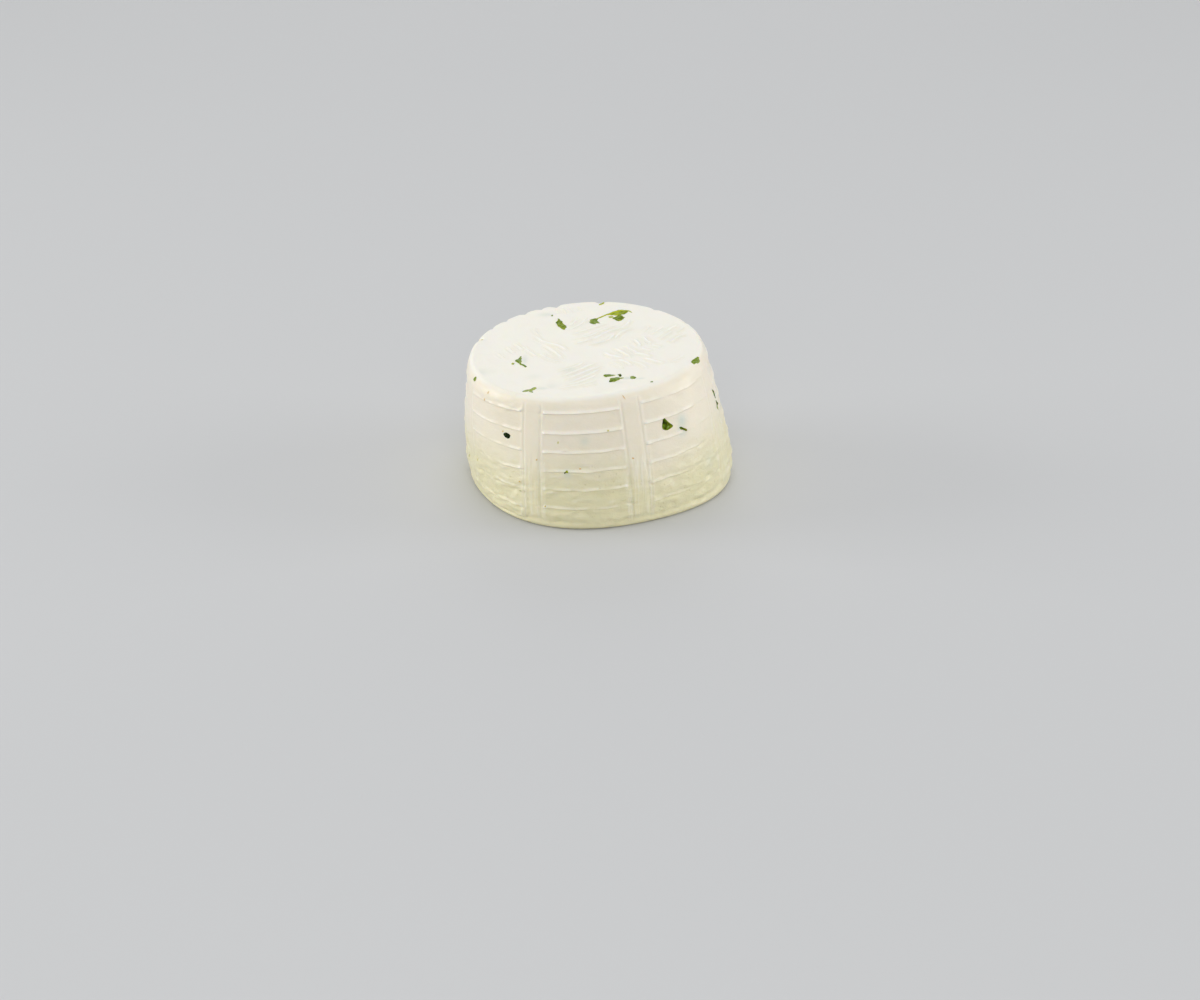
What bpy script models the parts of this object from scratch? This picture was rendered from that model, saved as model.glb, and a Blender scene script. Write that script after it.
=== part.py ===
"""A giuncata: a small fresh basket cheese, turned out of its mould and standing narrow end up.

The draining basket has marked the soft curd all round with flat upright bars and, between them,
with level ridges. Its floor has left patches of wavy ridges on top, laid like a woven mat.
Bits of chopped herb sit in the curd. The cheese has slumped: it leans, its top slopes, and its
foot has spread unevenly.

Metres, +Z up, origin in the middle of the base. Angles round the cheese are in degrees from the
front (-Y) towards +X. Places on top are (x, y) from the middle of the top.
"""

import math
import random

import bmesh
import bpy
from mathutils import Vector

MM = 0.001

# The body
HEIGHT = 41.2 * MM
BELLY_RADIUS = 40.2 * MM
TAPER = 4.4 * MM
TAPER_POWER = 2.1
LEAN = (-4.2 * MM, 0.4 * MM)
TOP_SLOPE = (math.tan(math.radians(3.7)), math.tan(math.radians(1.5)))
FOOT_ROUND_IN = 1.5 * MM
FOOT_ROUND_UP = 3.0 * MM
RIM_ROUND_IN = 1.4 * MM
RIM_ROUND_DOWN = 1.9 * MM

# How the outline has settled out of round: lobes, how far they stand out, where the first one is
FOOT_LOBES = ((2, 0.35 * MM, -38), (3, 0.70 * MM, -19), (4, 0.80 * MM, -23))
TOP_LOBES = ((3, 0.60 * MM, -52), (4, 0.20 * MM, -30))

# The basket's marks on the wall
BAR_COUNT = 8
FIRST_BAR = -25.2
BAR_SHIFTS = (0.0, 0.7, 0.5, -0.6, 0.4, -0.5, 0.6, -0.3)
BAR_WIDTH = 5.2 * MM
BAR_EDGE = 0.45 * MM
BAR_OUT = 0.15 * MM
BAR_EDGE_DEPTH = 0.30 * MM
PANEL_STEPS = 8
RIDGE_COUNT = 6
FIRST_RIDGE = 7.3 * MM
RIDGE_PITCH = 6.0 * MM
RIDGE_OUT = 0.45 * MM
RIDGE_SLOPE = 0.90 * MM
RIDGE_UNDERSIDE = 0.40 * MM
RIDGE_UNDERCUT = 0.20 * MM
RIDGE_WANDER = 0.30 * MM
FOOT_GROOVE_HEIGHT = 2.5 * MM
FOOT_GROOVE_DEPTH = 0.45 * MM

# The woven mat on top: middle of each patch, way its ridges run, how many, how long
WEAVE_PATCHES = (
    ((3.5, 11.5), 46, 7, 17.0),
    ((14.5, -5.5), -55, 7, 16.0),
    ((-1.5, -20.5), 44, 6, 16.0),
    ((-11.5, 1.0), -58, 6, 16.0),
    ((26.5, 7.5), 54, 6, 11.0),
    ((-10.0, 26.0), -62, 5, 9.0),
    ((-24.0, 1.5), -60, 3, 7.0),
    ((27.0, -13.5), 52, 2, 12.0),
)
WEAVE_SPACING = 2.5 * MM
WEAVE_WIDTH = 1.1 * MM
WEAVE_HEIGHT = 0.32 * MM
WEAVE_WAVE = 0.45 * MM
WEAVE_WAVELENGTH = 6.5 * MM
WEAVE_STEPS = 7
WEAVE_SEED = 11

# Herb bits: place, length, width, way they point
TOP_LEAVES = (
    ((-7.2, 19.4), 9.4, 2.9, 104),
    ((-10.1, 26.4), 1.4, 1.1, 20),
    ((3.0, 20.3), 4.2, 3.2, 70),
    ((10.6, 25.3), 6.4, 3.4, 12),
    ((10.3, 21.6), 4.6, 3.8, 35),
    ((4.8, 33.0), 2.6, 1.2, 40),
    ((-19.7, -5.4), 4.6, 2.0, 70),
    ((-21.4, -8.0), 1.3, 1.0, 10),
    ((10.4, -20.5), 1.7, 1.5, 60),
    ((9.2, -23.8), 4.0, 2.3, 12),
    ((14.9, -22.8), 2.2, 1.5, 10),
    ((20.1, -26.4), 1.6, 0.8, 35),
    ((32.6, -12.9), 4.6, 2.9, 58),
    ((-31.2, -15.6), 1.5, 1.0, 60),
)
TOP_STEMS = (
    (((1.6, 20.6), (4.8, 22.6), (7.9, 25.6), (11.0, 26.9), (13.1, 26.2), (15.9, 23.7)), 1.0),
    (((-19.6, -6.4), (-18.1, -9.5), (-17.0, -10.6)), 0.9),
    (((-18.3, -27.7), (-16.0, -27.2), (-14.0, -26.3)), 0.9),
    (((-16.4, -27.6), (-14.7, -29.3)), 0.8),
    (((5.7, -19.7), (7.1, -20.8), (8.8, -20.4), (10.6, -20.1)), 0.8),
    (((10.6, -23.4), (13.7, -23.2), (15.4, -23.4), (17.6, -24.3)), 0.6),
)
WALL_LEAVES = (
    (-39.0, 27.9, 2.7, 2.1, 0),
    (37.8, 28.5, 3.9, 3.3, 35),
    (46.9, 25.9, 2.7, 1.1, -33),
    (-10.6, 19.0, 1.5, 1.0, 35),
    (77.4, 28.2, 3.0, 0.9, 80),
    (77.6, 24.8, 3.0, 0.9, 95),
    (118.0, 21.0, 2.6, 1.8, 30),
    (147.0, 31.5, 3.6, 1.4, -50),
    (171.0, 15.5, 1.6, 1.2, 0),
    (188.0, 27.0, 3.2, 2.6, 75),
    (214.0, 34.0, 1.8, 1.2, 20),
    (236.0, 19.5, 2.4, 1.0, -20),
    (262.0, 29.0, 2.9, 2.2, 60),
)
LEAF_SIDES = 8
HERB_OUT = 0.35 * MM
HERB_IN = 0.90 * MM
HERB_DRAFT = 0.90

CURD_COLOUR = (0.86, 0.83, 0.75, 1.0)


def rounding(distance, reach):
    """How far a quarter-round edge has drawn in, 0 to 1, at a distance from the end of its reach."""
    left = max(0.0, 1.0 - distance / reach)
    return 1.0 - math.sqrt(1.0 - left * left)


def lobes(angle, parts):
    """How far the outline stands out of round at an angle."""
    return sum(out * math.cos(count * math.radians(angle - first)) for count, out, first in parts)


def wall_radius(angle, height):
    """The wall bellies low down, draws in faster towards its top, and is rounded at both edges."""
    share = height / HEIGHT
    radius = BELLY_RADIUS - TAPER * share**TAPER_POWER
    radius -= FOOT_ROUND_IN * rounding(height, FOOT_ROUND_UP)
    radius -= RIM_ROUND_IN * rounding(HEIGHT - height, RIM_ROUND_DOWN)
    return radius + (1.0 - share) * lobes(angle, FOOT_LOBES) + share * lobes(angle, TOP_LOBES)


def on_wall(angle, height, out=0.0):
    """A point on the wall. The lean and the slope of the top fade out towards the base."""
    share = height / HEIGHT
    radius = wall_radius(angle, height) + out
    across = radius * math.sin(math.radians(angle))
    back = -radius * math.cos(math.radians(angle))
    rise = share * (across * TOP_SLOPE[0] + back * TOP_SLOPE[1])
    return Vector((LEAN[0] * share + across, LEAN[1] * share + back, height + rise))


def on_top(x, y, up=0.0):
    """A point on the sloping top."""
    return Vector((LEAN[0] + x, LEAN[1] + y, HEIGHT + x * TOP_SLOPE[0] + y * TOP_SLOPE[1] + up))


def wall_columns():
    """Angles round the wall, each with how far it stands out and how much of the ridges it carries."""
    columns = []
    per_metre = math.degrees(1.0 / BELLY_RADIUS)
    half = BAR_WIDTH / 2 * per_metre
    edge = BAR_EDGE * per_metre
    crossing = ((half + 2 * edge, 0.0, 1.0), (half + edge, -BAR_EDGE_DEPTH, 0.1), (half, BAR_OUT, 0.0))
    middles = [FIRST_BAR + index * 360.0 / BAR_COUNT + BAR_SHIFTS[index] for index in range(BAR_COUNT)]
    middles.append(middles[0] + 360.0)
    for middle, following in zip(middles, middles[1:]):
        columns += [(middle - offset, out, ridged) for offset, out, ridged in crossing]
        columns += [(middle + offset, out, ridged) for offset, out, ridged in reversed(crossing)]
        start = middle + half + 2 * edge
        panel = following - half - 2 * edge - start
        columns += [(start + panel * step / PANEL_STEPS, 0.0, 1.0) for step in range(1, PANEL_STEPS)]
    return columns


def wall_rows():
    """Heights up the wall, each with how far the panels stand out there."""
    rows = [(0.0, 0.0), (0.10 * FOOT_ROUND_UP, 0.0), (0.45 * FOOT_ROUND_UP, 0.0)]
    rows += [(FOOT_GROOVE_HEIGHT, -FOOT_GROOVE_DEPTH), (FOOT_GROOVE_HEIGHT + 1.2 * MM, 0.0)]
    for index in range(RIDGE_COUNT):
        crest = FIRST_RIDGE + index * RIDGE_PITCH
        rows.append((crest - RIDGE_UNDERSIDE, -RIDGE_UNDERCUT))
        rows.append((crest, RIDGE_OUT))
        rows.append((crest + RIDGE_SLOPE, 0.0))
    rows += [(HEIGHT - RIM_ROUND_DOWN * share, 0.0) for share in (0.95, 0.6, 0.3, 0.08, 0.0)]
    return rows


def ridge_wander(angle, height):
    """The ridges run a little up and down on their way round."""
    swing = math.sin(math.radians(2 * angle) + 150.0 * height) + 0.6 * math.sin(math.radians(5 * angle))
    ends = math.sin(math.pi * height / HEIGHT)
    return RIDGE_WANDER * swing * ends


def add_body(mesh):
    """The marked wall as a grid of rows and columns, closed by a flat base and a flat sloping top."""
    columns = wall_columns()
    rings = []
    for height, panel_out in wall_rows():
        ring = []
        for angle, out, ridged in columns:
            level = height + ridged * ridge_wander(angle, height)
            ring.append(mesh.verts.new(on_wall(angle, level, out + ridged * panel_out)))
        rings.append(ring)
    for below, above in zip(rings, rings[1:]):
        for here in range(len(columns)):
            there = (here + 1) % len(columns)
            mesh.faces.new((below[here], below[there], above[there], above[here]))
    mesh.faces.new(rings[-1])
    mesh.faces.new(reversed(rings[0]))


def add_prism(mesh, lower, upper):
    """A closed prism between two outlines of as many points."""
    low = [mesh.verts.new(point) for point in lower]
    high = [mesh.verts.new(point) for point in upper]
    for here in range(len(low)):
        there = (here + 1) % len(low)
        mesh.faces.new((low[here], low[there], high[there], high[here]))
    mesh.faces.new(high)
    mesh.faces.new(reversed(low))


def add_strip(mesh, path, width, heights, depth):
    """A ridge along a path on top: a roof-shaped section whose crest has a height at each point."""
    sections = []
    for index, (x, y) in enumerate(path):
        before = path[max(index - 1, 0)]
        after = path[min(index + 1, len(path) - 1)]
        run = math.hypot(after[0] - before[0], after[1] - before[1])
        side = ((before[1] - after[1]) / run, (after[0] - before[0]) / run)
        foot = width / 2 * (1.0 + depth / max(heights))
        left = on_top(x + side[0] * foot, y + side[1] * foot, -depth)
        right = on_top(x - side[0] * foot, y - side[1] * foot, -depth)
        crest = on_top(x, y, heights[index])
        sections.append([mesh.verts.new(point) for point in (right, crest, left)])
    for near, far in zip(sections, sections[1:]):
        for here in range(3):
            there = (here + 1) % 3
            mesh.faces.new((near[here], far[here], far[there], near[there]))
    mesh.faces.new(sections[0])
    mesh.faces.new(reversed(sections[-1]))


def weave_paths():
    """Wavy ridge lines, side by side in each patch, with lengths and places that differ a little."""
    draw = random.Random(WEAVE_SEED)
    for (middle_x, middle_y), way, count, length in WEAVE_PATCHES:
        along = (math.cos(math.radians(way)), math.sin(math.radians(way)))
        across = (-along[1], along[0])
        for index in range(count):
            offset = (index - (count - 1) / 2) * WEAVE_SPACING + draw.uniform(-0.2, 0.2) * MM
            reach = length * MM * draw.uniform(0.85, 1.0)
            slide = draw.uniform(-1.2, 1.2) * MM
            phase = draw.uniform(-0.4, 0.4)
            path = []
            for step in range(WEAVE_STEPS + 1):
                run = (step / WEAVE_STEPS - 0.5) * reach
                swing = offset + WEAVE_WAVE * math.sin(math.tau * run / WEAVE_WAVELENGTH + phase)
                x = middle_x * MM + along[0] * (run + slide) + across[0] * swing
                y = middle_y * MM + along[1] * (run + slide) + across[1] * swing
                path.append((x, y))
            yield path


def leaf_outline(length, width, turn):
    """A chopped leaf bit: an oval drawn to a point at both ends."""
    points = []
    for index in range(LEAF_SIDES):
        angle = math.tau * index / LEAF_SIDES
        x = length / 2 * math.cos(angle)
        y = width / 2 * math.sin(angle)
        cosine = math.cos(math.radians(turn))
        sine = math.sin(math.radians(turn))
        points.append((x * cosine - y * sine, x * sine + y * cosine))
    return points


def add_top_leaf(mesh, place, length, width, turn, out):
    """A leaf bit pressed into the top."""
    outline = leaf_outline(length * MM, width * MM, turn)
    x, y = place[0] * MM, place[1] * MM
    lower = [on_top(x + a, y + b, -HERB_IN) for a, b in outline]
    upper = [on_top(x + a * HERB_DRAFT, y + b * HERB_DRAFT, out) for a, b in outline]
    add_prism(mesh, lower, upper)


def add_wall_leaf(mesh, angle, height, length, width, turn, out):
    """A leaf bit pressed into the wall, lying along it."""
    per_metre = math.degrees(1.0 / wall_radius(angle, height * MM))
    outline = leaf_outline(length * MM, width * MM, turn)
    lower = [on_wall(angle + a * per_metre, height * MM + b, -HERB_IN) for a, b in outline]
    upper = []
    for a, b in outline:
        upper.append(on_wall(angle + a * HERB_DRAFT * per_metre, height * MM + b * HERB_DRAFT, out))
    add_prism(mesh, lower, upper)


def new_object(name, collection, build, *shape):
    """An object whose mesh the build function fills with the given shape."""
    mesh = bmesh.new()
    build(mesh, *shape)
    bmesh.ops.recalc_face_normals(mesh, faces=mesh.faces)
    data = bpy.data.meshes.new(name)
    mesh.to_mesh(data)
    mesh.free()
    thing = bpy.data.objects.new(name, data)
    collection.objects.link(thing)
    return thing


def add_weave(collection):
    """The woven ridges on top. Each rises out of the curd and sinks back into it at its ends."""
    heights = [WEAVE_HEIGHT] * (WEAVE_STEPS + 1)
    heights[0] = heights[-1] = -0.5 * WEAVE_HEIGHT
    for index, path in enumerate(weave_paths()):
        new_object(f"weave_{index}", collection, add_strip, path, WEAVE_WIDTH, heights, WEAVE_HEIGHT)


def add_herbs(collection):
    """The herb bits on top and on the wall, each standing out by a little more or less."""
    for index, (points, width) in enumerate(TOP_STEMS):
        path = [(x * MM, y * MM) for x, y in points]
        heights = [HERB_OUT * (0.80 + 0.05 * index)] * len(path)
        new_object(f"stem_{index}", collection, add_strip, path, width * MM, heights, HERB_IN)
    for index, leaf in enumerate(TOP_LEAVES):
        out = HERB_OUT * (1.0 + 0.04 * (index % 5))
        new_object(f"leaf_{index}", collection, add_top_leaf, *leaf, out)
    for index, leaf in enumerate(WALL_LEAVES):
        new_object(f"wall_leaf_{index}", collection, add_wall_leaf, *leaf, RIDGE_OUT + 0.1 * MM)


def fuse(cheese, collection):
    """Join the marks to the cheese in one union, then drop them."""
    union = cheese.modifiers.new("fuse_marks", "BOOLEAN")
    union.operation = "UNION"
    union.operand_type = "COLLECTION"
    union.collection = collection
    union.solver = "EXACT"
    bpy.context.view_layer.update()
    evaluated = cheese.evaluated_get(bpy.context.evaluated_depsgraph_get())
    joined = bpy.data.meshes.new_from_object(evaluated)
    cheese.modifiers.clear()
    cheese.data = joined
    for thing in list(collection.objects):
        bpy.data.objects.remove(thing)
    bpy.data.collections.remove(collection)


def tidy_mesh(cheese):
    """Close up points that the union left on top of each other, and drop any loose scrap."""
    mesh = bmesh.new()
    mesh.from_mesh(cheese.data)
    bmesh.ops.remove_doubles(mesh, verts=mesh.verts, dist=0.004 * MM)
    bmesh.ops.dissolve_degenerate(mesh, edges=mesh.edges, dist=0.004 * MM)
    bmesh.ops.triangulate(mesh, faces=mesh.faces)
    mesh.to_mesh(cheese.data)
    mesh.free()


def curd_material():
    """Moist white curd."""
    material = bpy.data.materials.new("curd")
    material.use_nodes = True
    surface = material.node_tree.nodes["Principled BSDF"]
    surface.inputs["Base Color"].default_value = CURD_COLOUR
    surface.inputs["Roughness"].default_value = 0.45
    surface.inputs["Metallic"].default_value = 0.0
    return material


def main():
    for thing in list(bpy.data.objects):
        bpy.data.objects.remove(thing)
    cheese = new_object("giuncata", bpy.context.scene.collection, add_body)
    marks = bpy.data.collections.new("marks")
    bpy.context.scene.collection.children.link(marks)
    add_weave(marks)
    add_herbs(marks)
    fuse(cheese, marks)
    tidy_mesh(cheese)
    cheese.data.materials.clear()
    cheese.data.materials.append(curd_material())
    cheese.data.shade_smooth()
    cheese.data.set_sharp_from_angle(angle=math.radians(40))


main()
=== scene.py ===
"""Finish for a giuncata: a small fresh basket cheese with chopped herbs in its curd.

The curd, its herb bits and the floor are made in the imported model's frame: metres, +Z up. Shapes are
worked out in millimetres and scaled as they become meshes. Angles round the cheese are in degrees from
the front (-Y) towards +X. A level is a height up the wall before the slope of the top is added. Places
on top are (x, y) from the middle of the top.
"""

import math

import bpy
import numpy as np
from bpy.props import FloatProperty, FloatVectorProperty, IntProperty, PointerProperty
from bpy.types import Operator, Panel, PropertyGroup
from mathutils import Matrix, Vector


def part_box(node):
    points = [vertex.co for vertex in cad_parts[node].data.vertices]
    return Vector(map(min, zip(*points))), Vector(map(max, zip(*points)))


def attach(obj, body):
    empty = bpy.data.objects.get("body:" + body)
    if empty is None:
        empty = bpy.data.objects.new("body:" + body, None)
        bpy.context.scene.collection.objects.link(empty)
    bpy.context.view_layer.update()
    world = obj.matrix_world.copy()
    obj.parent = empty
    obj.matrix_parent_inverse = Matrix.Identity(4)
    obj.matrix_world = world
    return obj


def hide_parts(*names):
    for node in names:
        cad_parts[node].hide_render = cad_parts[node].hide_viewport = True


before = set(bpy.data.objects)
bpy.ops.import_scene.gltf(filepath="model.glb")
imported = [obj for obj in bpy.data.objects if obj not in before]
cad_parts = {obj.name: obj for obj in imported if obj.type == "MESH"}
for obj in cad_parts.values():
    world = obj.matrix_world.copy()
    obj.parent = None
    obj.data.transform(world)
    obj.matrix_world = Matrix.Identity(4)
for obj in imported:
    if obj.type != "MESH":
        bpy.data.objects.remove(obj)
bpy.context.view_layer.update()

bl_info = {
    "name": "Giuncata Cheese",
    "version": (1, 0, 0),
    "blender": (4, 5, 0),
    "location": "View3D > Sidebar > Giuncata",
    "description": "A fresh basket cheese with chopped herbs in its curd, on a plain studio floor",
    "category": "Add Mesh",
}

NODE = "giuncata"
BODY = "root"

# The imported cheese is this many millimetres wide, which sets the size of one millimetre here
WIDTH = 81.5
MM = (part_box(NODE)[1][0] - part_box(NODE)[0][0]) / WIDTH

# The body
HEIGHT = 41.2
BELLY_RADIUS = 40.2
TAPER = 4.4
TAPER_POWER = 2.1
LEAN = (-4.2, 0.4)
TOP_SLOPE = (math.tan(math.radians(3.7)), math.tan(math.radians(1.5)))
FOOT_ROUND_IN = 1.5
FOOT_ROUND_UP = 3.0
RIM_ROUND_IN = 1.4
RIM_ROUND_DOWN = 1.9
RIM_DROP = 8.0
RIM_DROP_STEPS = 40
BASE_HOLLOW = 0.25
TOP_MARGIN = 0.35

# The skin's mesh: rows over the rim's curve, rings under the base, fine steps from which rows and columns are
# chosen, and for columns and rows how much closer they crowd, where and over what width
RIM_ROWS = 9
BASE_RINGS = 6
FINE_STEPS = 6000
BAR_CROWDING = (2.6, 3.0, 1.2)
RIDGE_CROWDING = (3.4, -0.05, 0.75)
FOOT_CROWDING = (1.5, 0.0, 1.5)

# Where the rim has worn softer: angle, reach round, and how much farther in and down its curve goes
SOFT_RIM = ((46, 36, 1.3, 2.8), (-62, 26, 0.9, 2.2))

# Where the wall has settled outwards or inwards: angle, level, reach round and up, how far out
BULGES = ((92, 9, 24, 9, 0.9), (-98, 34, 20, 9, -0.5))

# How the outline has settled out of round: lobes, how far they stand out, where the first one is
FOOT_LOBES = ((2, 0.35, -38), (3, 0.7, -19), (4, 0.8, -23))
TOP_LOBES = ((3, 0.6, -52), (4, 0.2, -30))

# The basket's upright bars
BAR_COUNT = 8
FIRST_BAR = -25.6
BAR_SHIFTS = (-0.3, 1.6, 8.1, -0.2, 0.8, -0.1, 1, 0.1)
BAR_CLEARNESS = (0.85, 1, 0.5, 0.75, 0.9, 0.8, 0.9, 0.3)
BAR_HALF = 2.60
BAR_MIDDLES = np.array([FIRST_BAR + index * 360.0 / BAR_COUNT + shift for index, shift in enumerate(BAR_SHIFTS)])
BAR_MIDDLES = np.append(BAR_MIDDLES, BAR_MIDDLES[0] + 360.0)
DEGREES_PER_MM = math.degrees(1.0 / BELLY_RADIUS)

# Each bar: how much wider than the plain one on each side, how much more so at the foot than at the rim, and
# how far its foot stands to the right of its top
BAR_DRIFTS = (
    (0.05, -0.4, -1.9), (0.4, -0.1, -1), (0, 0.3, 0), (0.1, 0.2, 0.8), (-0.1, 0.4, -0.6), (0, 0.1, 0.4),
    (0.1, 0.3, -0.8), (0, 0.2, -0.6),
)
GROOVE_DEPTH = 0.18
GROOVE_WIDTH = 0.20
BEADING_PLACE = 3.30
BEADING_OUT = 0.15
# How strongly the beading along each bar takes painted highlight
BEADING_PAINTED_HIGHLIGHT = 0.40
BEADING_WIDTH = 0.42
PANEL_START = 3.90
BAR_LINES = (-1.9, -0.7, 0.45, 1.55, 4.10)
BAR_LINE_OUT = 0.15
BAR_LINE_WIDTH = 0.22
BAR_LINE_TOP = 27.0

# The basket's level strands, which leave ridges across the panels between the bars
RIDGE_LEVELS = (7.3, 13.3, 19.3, 25.3, 31.3, 37.3)
RIDGE_CLEARNESS = (0.38, 0.5, 0.52, 0.75, 1, 0.95)
RIDGE_WANDER = 0.105
RIDGE_WOBBLE = 0.16
RIDGE_SLOPE = 0.85
RIDGE_UNDERSIDE = 0.36
RIDGE_UNDERCUT = 0.30
UNDERCUT_REACH = 2.2
RIDGE_REACH = 4.0
KNOB_OUT = 0.26
KNOB_WIDTH = 0.52

# Each panel: how clear its ridges are at its left and right end, and how far they run off their
# level there, low down (left, right) and high up (left, right)
PANELS = (
    ((1.15, 1.05), (-0.3, -0.3), (-0.3, -0.3)), ((0.9, 0.02), (-0.6, 0.9), (0, -0.6)),
    ((0.25, 0.85), (0.2, -0.3), (-0.2, 0.3)), ((1.05, 0.95), (-0.3, 0.2), (0.3, 0)),
    ((0.85, 1), (0.3, -0.4), (0, -0.4)), ((1, 0.7), (-0.4, 0.3), (-0.3, 0.2)),
    ((0.8, 0.25), (0.3, 0), (0.2, -0.2)), ((0.15, 0.72), (-2.3, -1.5), (-1.6, -0.4)),
)

# Fine scallops on one side, where the strands lay closer: angle, reach round, spacing, how far out
SCALLOPS = (88, 15, 3.05, 0.3)

# The foot, where the curd has spread over the basket's edge
FOOT_GROOVE_LEVEL = 2.5
FOOT_GROOVE_DEPTH = 0.45
FOOT_GROOVE_WIDTH = 0.8

# The curd's broad slumps, the sizes of its crumbs, ledges and dug places, and how much flatter than wide these
# are, then how deep the finest texture of curd and herbs is
SLUMP_OUT = 0.22
SLUMP_SIZE = 14.0
GRAIN_SIZE = 3.0
LEDGE_SIZE = 5.5
DUG_SIZE = 3.4
GRAIN_FLATNESS = 2.4
CURD_TEXTURE = 0.09
HERB_TEXTURE = 0.05

# How far light reaches inside the curd, and the share of this for red, green and blue
GLOW_REACH = 0.36
GLOW_RADII = (1.0, 0.80, 0.50)

# Small holes and slits in the wall: place, half width and half height, depth
WALL_PITS = (
    ((-62, 14.6), (1, 0.45), 0.4), ((-57, 21.2), (1.2, 0.3), 0.3), ((-46, 16.5), (1, 0.35), 0.35),
    ((-40, 8), (0.3, 1.3), 0.4), ((-7, 23), (0.7, 0.3), 0.35), ((-2, 20.7), (2, 0.3), 0.4),
    ((-4, 16), (0.8, 0.35), 0.35), ((4, 18.3), (1, 0.3), 0.35), ((13, 18), (0.8, 0.3), 0.3),
    ((-20.9, 7.8), (1, 0.35), 0.4), ((-11, 9.5), (1.6, 0.35), 0.35), ((2, 11.2), (1.3, 0.3), 0.35),
    ((36, 9), (1.4, 0.3), 0.3), ((52, 15), (1.2, 0.3), 0.25), ((103, 18), (1.2, 0.35), 0.35),
    ((139, 10), (0.8, 0.4), 0.4), ((178, 19.5), (1.4, 0.3), 0.35), ((207, 8.5), (0.9, 0.4), 0.4),
    ((232, 15), (1.2, 0.3), 0.35), ((266, 9), (0.8, 0.4), 0.35),
)

# Short seams where curd has folded over itself: middle, half length, how far out
WALL_SEAMS = (
    ((-2, 21.5), 2.3, 0.34), ((-14.5, 17.5), 3, 0.36), ((-11, 25.9), 2.4, 0.24), ((3.5, 16.2), 2.6, 0.24),
    ((-7, 10.2), 3.2, 0.32), ((8.5, 9.2), 2.4, 0.28), ((-36, 9.3), 3.2, 0.26), ((-49, 12.3), 2.4, 0.24),
    ((-35.5, 38), 1.3, 0.34), ((-38.5, 36.9), 1.1, 0.34), ((-31.5, 37.6), 1, 0.3), ((23.6, 39.4), 1.4, 0.26),
    ((-6.5, 23.4), 3, 0.2), ((10, 22.9), 1.8, 0.2), ((-17, 12.2), 2.2, 0.26), ((-46, 22), 1.8, 0.22),
    ((35, 10.6), 3, 0.22), ((27.5, 24.9), 1.6, 0.28), ((33, 25.9), 1.2, 0.24), ((127, 15.5), 2.6, 0.28),
    ((165, 10.5), 3, 0.3), ((190, 22), 2, 0.26), ((221, 11.5), 2.8, 0.28), ((255, 17), 2.2, 0.26),
)
SEAM_SLOPE = 0.32
# How strongly the raised part of each seam takes painted highlight
SEAM_PAINTED_HIGHLIGHT = 1.6

# Places where the rim is chipped: angle, width, depth
RIM_CHIPS = (
    (-110.5, 2.4, 1.3), (-165, 2.6, 1.4), (172, 2.8, 1.3), (-125, 1.8, 0.9), (-135.5, 1.8, 0.8), (-147.5, 2, 1),
    (-157, 1.8, 0.8), (95, 1.6, 0.6), (118, 1.8, 0.5), (141, 2.4, 0.6),
)

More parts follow.
